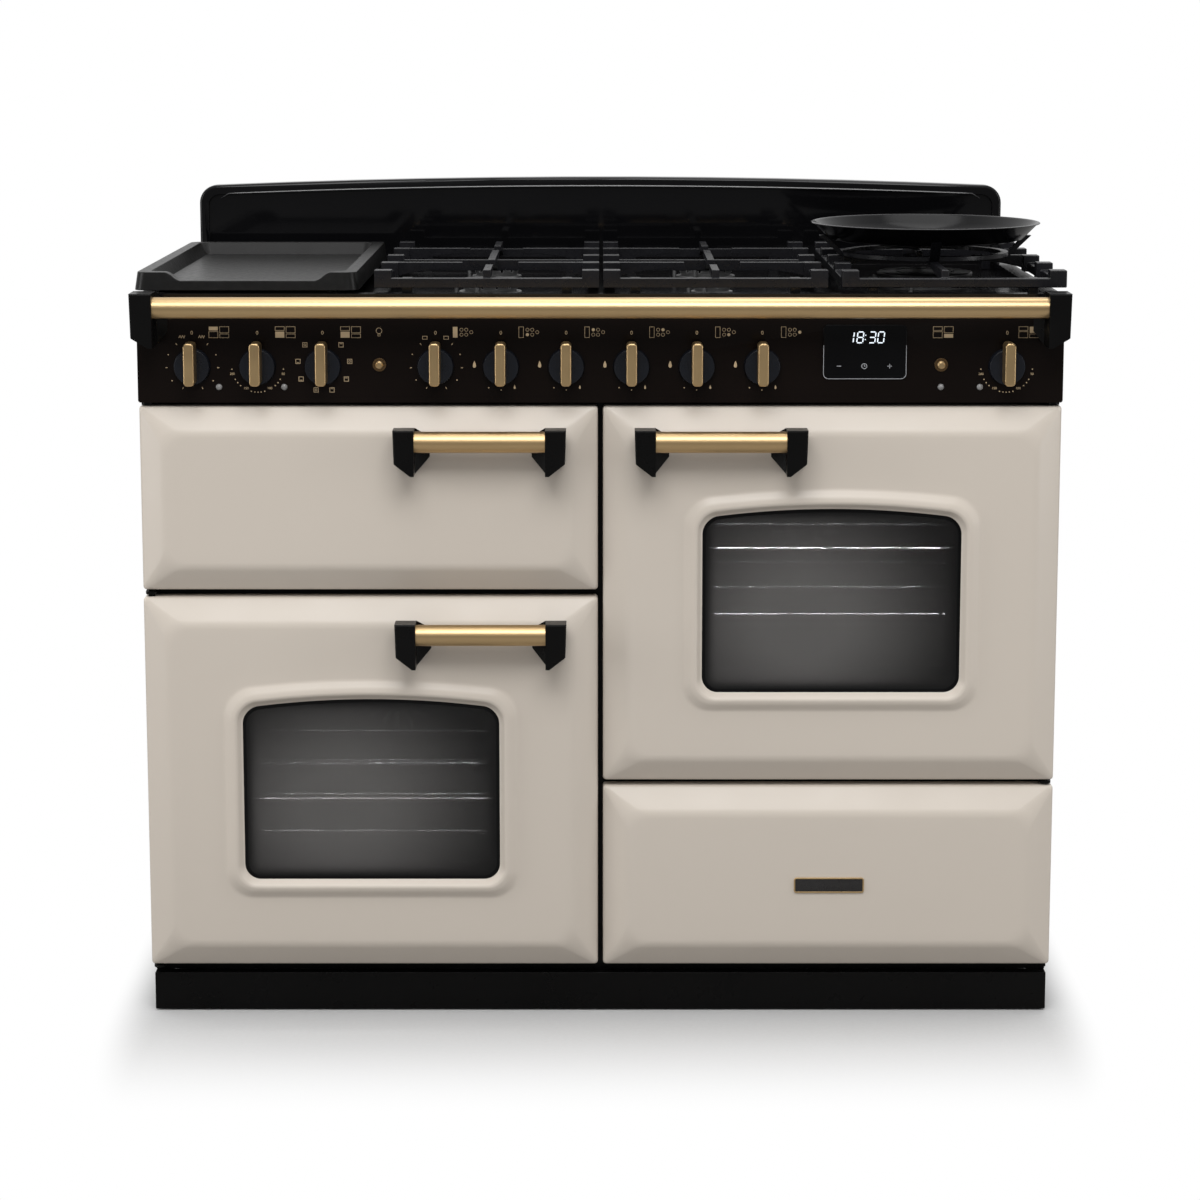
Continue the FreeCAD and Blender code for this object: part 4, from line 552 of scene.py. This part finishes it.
def panel_marks():
    """All the gold print: an off mark and an icon over each knob, and the settings round it."""
    marks = [figures("0", x, 833.0, 4.6) for x in KNOBS.values()]
    for x, full in ((-448.3, (-1, 1)), (-370.3, (-1, -1)), (-293.5, (-1, -1)), (402.7, (1, -1)),
                    (503.3, (1, 1))):
        marks += compartment_mark(x, full)
    for x, full in ((-161.9, 0), (-84.4, 1), (-7.0, 2), (69.2, 3), (146.6, 4), (224.0, 5)):
        marks += hob_mark(x, full)
    bulb = -260.1                         # over the oven light's button
    marks.append(ribbon(round_path(bulb, 835.6, 3.4, 14), 0.45, True))
    marks.append(ribbon(oblong(bulb, 830.6, 2.8, 2.2), 0.45, True))
    grill, griddle = KNOBS["grill_knob"], KNOBS["griddle_knob"]
    marks += [zigzag(grill - 11.5, 828.6), zigzag(grill + 11.5, 828.6)]
    marks += around(grill, both_sides([(18.3, 819.8), (30.4, 791.9), (11.5, 767.7)]), "tick")
    marks += around(grill, both_sides([(28.0, 807.3), (24.2, 776.5)]), "dot")
    marks += [ribbon(oblong(griddle + side * 12.5, 827.4, 5.4, 3.6), 0.6, True) for side in (-1, 1)]
    marks += around(griddle, [(-17.5, 820), (19.6, 820), (-29.2, 791.9), (30.8, 791.9), (-10.8, 768),
                              (12.1, 768)], "tick")
    marks += around(griddle, [(-27.5, 807.7), (28.8, 807.7), (-23.3, 777.3), (25, 777.3)], "dot")
    for number in range(1, 6):
        x = KNOBS["gas_tap_knob_%d" % number]
        marks += [flame(x - 31.3, 796.0, 8.0), flame(x + 16.0, 769.0, 4.6)]
        marks += around(x, [(-14.6, 768.2), (0.0, 765.5)], "dot")
    selector = KNOBS["left_oven_function_knob"]
    functions = ((-20.8, 819), (21.7, 819), (-29.2, 799.4), (31.7, 799.4),
                 (-25.8, 778.5), (27.5, 778.5), (-8.3, 765.6), (10.4, 765.6))
    for turn, (dx, z) in enumerate(functions):
        x, level = selector + dx, z + (1.3 if turn % 2 else -1.3)
        marks.append(ribbon(oblong(x, z, 5.2, 5.2), 0.6, True))
        marks.append(ribbon(round_path(x, z, 1.2, 10), 0.5, True) if turn % 3 == 0 else
                     ribbon([(x - 1.6, level), (x + 1.6, level)], 0.6))
    for node in ("left_oven_thermostat_knob", "right_oven_thermostat_knob"):
        x = KNOBS[node]
        for text, dx, z in (("50", 30.0, 784.5), ("100", 14.0, 767.5), ("150", -14.0, 767.5),
                            ("200", -30.0, 784.5)):
            marks.append(figures(text, x + dx, z, 2.8))
        sweep = np.radians((-6, -30, -39, -48, -75, -83, -90, -97, -105, -132, -141, -150, -174))
        marks += around(x, [(30.5 * math.cos(a), KNOB_HEIGHT + 30.5 * math.sin(a)) for a in sweep], "dot")
    return marks


SEGMENTS = {"0": "abcdef", "1": "bc", "3": "abcdg", "8": "abcdefg"}


def clock_marks():
    """Seven-bar figures that lean to the right, with the colon between them."""
    wide, tall, bar, lean, low = 7.0, 12.8, 1.3, 0.12, 821.6
    ends = {"a": ((0.1, 1), (0.9, 1)), "b": ((1, 0.94), (1, 0.56)), "c": ((1, 0.44), (1, 0.06)),
            "d": ((0.1, 0), (0.9, 0)), "e": ((0, 0.44), (0, 0.06)), "f": ((0, 0.94), (0, 0.56)),
            "g": ((0.1, 0.5), (0.9, 0.5))}
    marks = []
    for figure, dx in zip("1830", (-21.2, -10.0, 4.2, 14.4)):
        for segment in SEGMENTS[figure]:
            path = [(CLOCK[0] + dx + u * wide + v * tall * lean, low + v * tall) for u, v in ends[segment]]
            marks.append(ribbon(path, bar))
    for v in (0.30, 0.70):
        marks.append(filled(oblong(CLOCK[0] - 0.4 + v * 1.5, low + v * tall, 1.2, 1.2)))
    return marks


def touch_marks():
    """Keys on the tile: less, a clock face, and more."""
    x, z, step, arm = CLOCK[0] - 0.6, 794.0, 29.8, 2.6
    less, more = x - step, x + step
    return [ribbon([(less - arm, z), (less + arm, z)], 0.9), ribbon([(more - arm, z), (more + arm, z)], 0.9),
            ribbon([(more, z - arm), (more, z + arm)], 0.9), ribbon(round_path(x, z, 3.0, 18), 0.8, True),
            ribbon([(x, z + 2.0), (x, z), (x + 1.5, z)], 0.7)]


def painted_tile_edge_highlight():
    """Painted highlight: a grey line for the light caught on the glass tile's lower edge, which shows as a thin
    line round its two bottom corners.
    """
    half_width, half_height, radius, upright = 48.6, 31.6, 6.0, 8.0
    turn = np.linspace(0.0, math.pi / 2, 7)
    x, z = CLOCK
    left, right, low = x - half_width, x + half_width, z - half_height
    left_bend = np.stack([left + radius - radius * np.cos(turn), low + radius - radius * np.sin(turn)], 1)
    right_bend = np.stack([right - radius + radius * np.sin(turn), low + radius - radius * np.cos(turn)], 1)
    path = np.concatenate([[(left, z + upright)], left_bend, right_bend, [(right, z + upright)]])
    return [ribbon(path, 0.7)]


gold_print = finish("gold_print", (0.50, 0.38, 0.23), 0.42, drift=0.10, drift_scale=40.0)
figure_light = finish("figure_light", (0.75, 0.80, 0.84), 0.5, drift=0.04, drift_scale=60.0,
                      Emission_Color=(0.80, 0.90, 1.0, 1.0), Emission_Strength=0.9)
key_print = finish("key_print", (0.34, 0.35, 0.37), 0.5, drift=0.06, drift_scale=60.0)
printed("panel_print", panel_marks(), PANEL_FACE, gold_print, body_of("fascia"))
printed("clock_figures", clock_marks(), TILE_FACE, figure_light, body_of("clock_module"))
# the clock tile's edge line is a painted highlight, laid in the same grey as the printed keys
printed("clock_keys", touch_marks() + painted_tile_edge_highlight(), TILE_FACE, key_print, body_of("clock_module"))
knob_black = finish("knob_black", (0.0065, 0.0080, 0.0120), 0.22, drift=0.1, drift_scale=60.0, grain=0.04,
                    Specular_IOR_Level=0.30)
BAR_HALF, DISC_FRONT = 0.0064, -0.27899   # metres: half the brass bar's width, front of the black disc
for node, x in KNOBS.items():
    softened(node, knob_black, 0.0006, second=(brass, lambda points, x=x * 0.001: (
        points[:, 1] < DISC_FRONT) & (np.abs(points[:, 0] - x) < BAR_HALF)))
softened("towel_rail", brass, 0.0003)
softened("rail_brackets", frame_enamel, 0.0008)

# ---- doors ---------------------------------------------------------------------------------------
# Each front is one steel pressing in cream stove enamel: a bevelled edge, a raised field, and on the
# oven doors an arched window with a rolled bead. A liner closes it behind.
WINDOW = (306.0, 221.0, 112.0, 11.0, 19.0)    # width, height, height above the door's edge, arch, corner
DOORS = {"grill_door": (-274.0, 525.0, 746.0), "left_oven_door": (-274.0, 62.0, 516.0),    # middle, foot, top
         "right_oven_door": (274.0, 292.0, 746.0), "proving_drawer": (274.0, 62.0, 285.0)}


def rounded_row(cx, z0, z1, half_width, radius, rise=0.0, corner=14, side=26):
    """Closed row of points round a rectangle with round corners, anticlockwise from the front.
    Its upper half is lifted by rise times one less the square of the place across."""
    turn = np.linspace(0.0, math.pi / 2, corner, endpoint=False)
    along = np.linspace(0.0, 1.0, side, endpoint=False)
    a, b = half_width - radius, (z1 - z0) / 2 - radius
    rows = []
    for quarter, (sx, sz) in enumerate(((1, -1), (1, 1), (-1, 1), (-1, -1))):
        angle = turn + (quarter - 1) * math.pi / 2
        rows.append(np.stack([sx * a + radius * np.cos(angle), sz * b + radius * np.sin(angle)], 1))
        ends = ((a + radius, -b, a + radius, b), (a, b + radius, -a, b + radius),
                (-a - radius, b, -a - radius, -b), (-a, -b - radius, a, -b - radius))[quarter]
        rows.append(np.stack([ends[0] + (ends[2] - ends[0]) * along, ends[1] + (ends[3] - ends[1]) * along], 1))
    flat = np.concatenate(rows)
    lift = rise * np.clip(1.0 - (flat[:, 0] / half_width) ** 2, 0, 1) * np.clip(flat[:, 1] / b, 0, 1)
    return cx + flat[:, 0], (z0 + z1) / 2 + flat[:, 1] + lift


def eased(points, radii, steps):
    """Profile with each inner corner drawn as a curve between points a radius away along its two lines."""
    points = np.asarray(points, float)
    out = [points[:1]]
    for before, corner, after, radius in zip(points, points[1:], points[2:], radii):
        into, away = before - corner, after - corner
        start = corner + into * min(0.49, radius / np.linalg.norm(into))
        end = corner + away * min(0.49, radius / np.linalg.norm(away))
        t = np.linspace(0.0, 1.0, steps)[:, None]
        out.append((1 - t) ** 2 * start + 2 * t * (1 - t) * corner + t ** 2 * end)
    out.append(points[-1:])
    return np.concatenate(out)


def front_rows(cx, z0, z1, profile):
    """Rows round a door, one for each point of a profile of inset from the edge and height above its plane.
    The corners' radius grows across the bevel."""
    half_width, edge_radius, field_radius, bevel = 271.0, 4.0, 22.0, 30.0
    rows = []
    for inset, forward in profile:
        radius = edge_radius + (field_radius - edge_radius) * min(1.0, max(0.0, inset / bevel))
        x, z = rounded_row(cx, z0 + inset, z1 - inset, half_width - inset, radius)
        rows.append(np.stack([x, np.full_like(x, -forward), z], 1))
    return rows


def bead_rows(cx, z0, profile):
    """Rows round the window, one for each point of a profile of width outside it and height above the
    door's plane."""
    width, height, low, rise, corner = WINDOW
    rows = []
    for grow, forward in profile:
        x, z = rounded_row(cx, z0 + low - grow, z0 + low + height - rise + grow, width / 2 + grow,
                           corner + 0.6 * grow, rise * (1 + grow / 150))
        rows.append(np.stack([x, np.full_like(x, -forward), z], 1))
    return rows


PRESS_OUTSIDE = eased([(0, -20), (0, 0), (30, 18), (46, 18)], (3.4, 6.5), 7)
PRESS_INSIDE = eased([(2, -20), (2, -2.6), (31, 15.6), (46, 15.6)], (2.0, 5.5), 4)
BEAD_OUTSIDE = eased([(40, 18), (22.5, 18), (13.5, 23.4), (9.0, 24.4), (6.4, 23.4), (2.2, 17.6), (0.3, 16.2)],
                     (2.6, 2.6, 1.2, 1.0, 1.0), 5)
BEAD_INSIDE = eased([(40, 15.6), (23.5, 15.6), (14.5, 21.0), (9.6, 22.0), (7.6, 20.6), (3.4, 16.2)],
                    (1.5, 2.0, 1.2, 1.2), 3)
cream = finish("cream_enamel", (0.578, 0.521, 0.456), 0.34, drift=0.012, drift_scale=2.2, grain=0.035,
               grain_scale=240.0, Specular_IOR_Level=0.35)
liner_enamel = finish("liner_enamel", (0.012, 0.012, 0.012), 0.3, drift=0.2, grain=0.05, grain_scale=100.0)


def pressed_front(name, body, node, window):
    """Pressed steel front: bevel, raised field and, round a window, its rolled bead."""
    cx, z0, z1 = DOORS[body]
    inner, outer = front_rows(cx, z0, z1, PRESS_INSIDE), front_rows(cx, z0, z1, PRESS_OUTSIDE)
    if window:
        rows = outer + bead_rows(cx, z0, BEAD_OUTSIDE) + bead_rows(cx, z0, BEAD_INSIDE)[::-1] + inner[::-1]
        patch = (place(np.stack(rows)), False, False, True)
    else:
        patch = (place(np.stack(inner[::-1] + outer)), True, True, False)
    surface(name, [patch], cream, body, [node], crease=40.0)


pressed_front("grill_door_front", "grill_door", "grill_door_panel", False)
pressed_front("left_oven_door_front", "left_oven_door", "left_oven_door_panel", True)
pressed_front("right_oven_door_front", "right_oven_door", "right_oven_door_panel", True)
pressed_front("drawer_pressing", "proving_drawer", "drawer_front", False)
TUBE_ACROSS, TUBE_DROP = 141.0, 37.0      # tube's middle from the cooker's middle, and below the door's top
TUBE_Y, TUBE_RADIUS, TUBE_HALF = -0.3105, 0.01253, 0.0935                 # metres, half for half its length
for door in ("grill_door", "left_oven_door", "right_oven_door"):
    softened(door + "_liner", liner_enamel, 0.0005)
    cx, _, top = DOORS[door]
    tube_x, tube_z = math.copysign(TUBE_ACROSS, cx) * 0.001, (top - TUBE_DROP) * 0.001
    softened(door + "_handle", frame_enamel, 0.0004, second=(brass, lambda p, x=tube_x, z=tube_z: (
        np.hypot(p[:, 1] - TUBE_Y, p[:, 2] - z) < TUBE_RADIUS) & (np.abs(p[:, 0] - x) < TUBE_HALF)))


def glass(name, cx, z0):
    """Smoked glass with a painted glow: the tint is palest left of the window's middle, a painted pool of light
    standing for the lit oven inside and the room the pane reflects, and it falls by a smooth step of the
    distance from there. It is opaque black along the window's edges."""
    painted_glow_spot, painted_glow_reach = (cx - 0.035, 0.0, z0 + 0.200), 0.215
    window_middle, half_width, half_height = (cx, 0.0, z0 + 0.223), 0.153, 0.1105
    edge_from, edge_to = 0.020, 0.003
    material = bpy.data.materials.new(name)
    add = nodes_of(material)
    where = add("TexCoord").outputs["Object"]
    film = add("TexNoise", Vector=where, Scale=9.0, Detail=2.0).outputs["Fac"]
    rough = add("MapRange", Value=film, To_Min=0.03, To_Max=0.07).outputs["Result"]
    # painted glow: the pane's tint is paler near a spot left of the window's middle and darker away from it
    away = add("VectorMath", {"operation": "SUBTRACT"}, in0=where, in1=painted_glow_spot).outputs["Vector"]
    away = add("VectorMath", {"operation": "MULTIPLY"}, in0=away, in1=(1.0, 0.0, 1.15)).outputs["Vector"]
    far = add("VectorMath", {"operation": "LENGTH"}, in0=away).outputs["Value"]
    painted_glow = add("MapRange", SMOOTH, Value=far, From_Min=0.02, From_Max=painted_glow_reach,
                To_Min=1.0, To_Max=0.0).outputs["Result"]
    mixed = add("Math", {"operation": "MULTIPLY_ADD"}, in0=film, in1=0.12, in2=painted_glow).outputs[0]
    reach = add("VectorMath", {"operation": "SUBTRACT"}, in0=where, in1=window_middle).outputs["Vector"]
    reach = add("VectorMath", {"operation": "ABSOLUTE"}, in0=reach).outputs["Vector"]
    reach = add("SeparateXYZ", Vector=reach)
    clear = [add("MapRange", SMOOTH, Value=reach.outputs[axis],
                 From_Min=half - edge_from, From_Max=half - edge_to, To_Min=1.0, To_Max=0.0).outputs["Result"]
             for axis, half in (("X", half_width), ("Z", half_height))]
    clear = add("Math", {"operation": "MULTIPLY"}, in0=clear[0], in1=clear[1]).outputs[0]
    mixed = add("Math", {"operation": "MULTIPLY"}, in0=mixed, in1=clear).outputs[0]
    tone = add("ValToRGB", Fac=mixed)
    tone.color_ramp.elements[0].color = (0.0045, 0.0045, 0.0046, 1.0)
    tone.color_ramp.elements[1].color = (0.150, 0.146, 0.142, 1.0)
    cover = add("MapRange", Value=clear, To_Min=1.0, To_Max=0.50).outputs["Result"]
    pane = add("BsdfPrincipled", Base_Color=tone.outputs["Color"], Roughness=rough, Alpha=cover,
               Specular_IOR_Level=0.20)
    add("OutputMaterial", Surface=pane.outputs["BSDF"])
    return material


glass_print = finish("glass_print", (0.0022, 0.0022, 0.0024), 0.14, drift=0.1, Specular_IOR_Level=0.12)
BORDER_WIDTH, BORDER_PROUD = 3.5, 0.06
for side in ("left", "right"):
    cx, z0, _ = DOORS[side + "_oven_door"]
    node = side + "_oven_door_glass"
    keep_node(node, glass(side + "_door_glass", cx / 1000.0, z0 / 1000.0))
    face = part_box(node)[0][1] * 1000.0 + DOOR_PLANE - BORDER_PROUD
    border = bead_rows(cx, z0, [(0.0, -face), (-BORDER_WIDTH, -face)])
    surface(side + "_window_border", [(place(np.stack(border)), False, False, False)], glass_print,
            body_of(node))
softened("drawer_tray", zinc, 0.0004)
badge_black = finish("badge_black", (0.012, 0.011, 0.011), 0.30, drift=0.1, drift_scale=40.0)


def badge_rows(profile):
    """Rows round the name plate, one for each point of a profile of width outside it and height above the
    drawer's plane."""
    middle, low, high, half_width, corner = 275.0, 158.0, 175.0, 41.2, 2.0
    rows = []
    for grow, forward in profile:
        x, z = rounded_row(middle, low - grow, high + grow, half_width + grow, corner + grow, 0.0, 6, 6)
        rows.append(np.stack([x, np.full_like(x, -forward), z], 1))
    return place(np.stack(rows))


surface("drawer_plate", [(badge_rows([(0.0, 17.6), (0.0, 19.0), (-0.4, 19.2)]), True, True, False)],
        badge_black, "proving_drawer")
plate_edge = badge_rows([(0.9, 17.9), (0.9, 19.4), (0.6, 19.7), (-0.5, 19.7), (-0.8, 19.3), (-0.8, 17.9)])
surface("drawer_plate_edge", [(plate_edge, False, False, True)], brass, "proving_drawer")

# ---- inside --------------------------------------------------------------------------------------
# Cavities of enamelled steel with chromed wire ladders and shelves, fans behind slotted covers, rope
# seals on the frame, and sheathed elements.
cavity_enamel = finish("cavity_enamel", (0.018, 0.018, 0.020), 0.28, drift=0.2, drift_scale=30.0, grain=0.1,
                       grain_scale=400.0)
chrome = finish("chromed_wire", (0.62, 0.62, 0.63), 0.16, drift=0.05, Metallic=1.0)
steel = finish("stainless", (0.5, 0.5, 0.5), 0.35, drift=0.06, drift_scale=20.0, grain=0.05, Metallic=1.0)
rope = finish("seal_rope", (0.05, 0.05, 0.05), 0.9, drift=0.3, drift_scale=400.0, grain=1.0,
              grain_scale=900.0)
softened("grill_chamber", cavity_enamel, 0.0)
softened("oven_cavities", cavity_enamel, 0.0)
softened("fan_covers", cavity_enamel, 0.0)
softened("grill_pan", cavity_enamel, 0.0008)
softened("wire_racks", chrome, 0.0, crease=50.0)
for side in ("left", "right"):
    softened(side + "_oven_fan", steel, 0.0)
softened("fan_motors", steel, 0.0006)
softened("heating_elements", steel, 0.0)
softened("door_seals", rope, 0.0006)
for name, x, z in (("left_oven_lamp", -0.274, 0.472), ("right_oven_lamp", 0.274, 0.702)):
    lamp(name, (x, -0.224, z), (0.34, 0.02), 2.4, spread=125.0)

# ---- gas and mains -------------------------------------------------------------------------------
# Drawn pipe and a brass-threaded inlet elbow at the back, and a moulded terminal box beside it.
pipe = finish("drawn_pipe", (0.6, 0.6, 0.6), 0.35, drift=0.08, drift_scale=20.0, grain=0.05, Metallic=1.0)
softened("gas_pipework", pipe, 0.0005)
softened("terminal_box", switch_plastic, 0.0008)
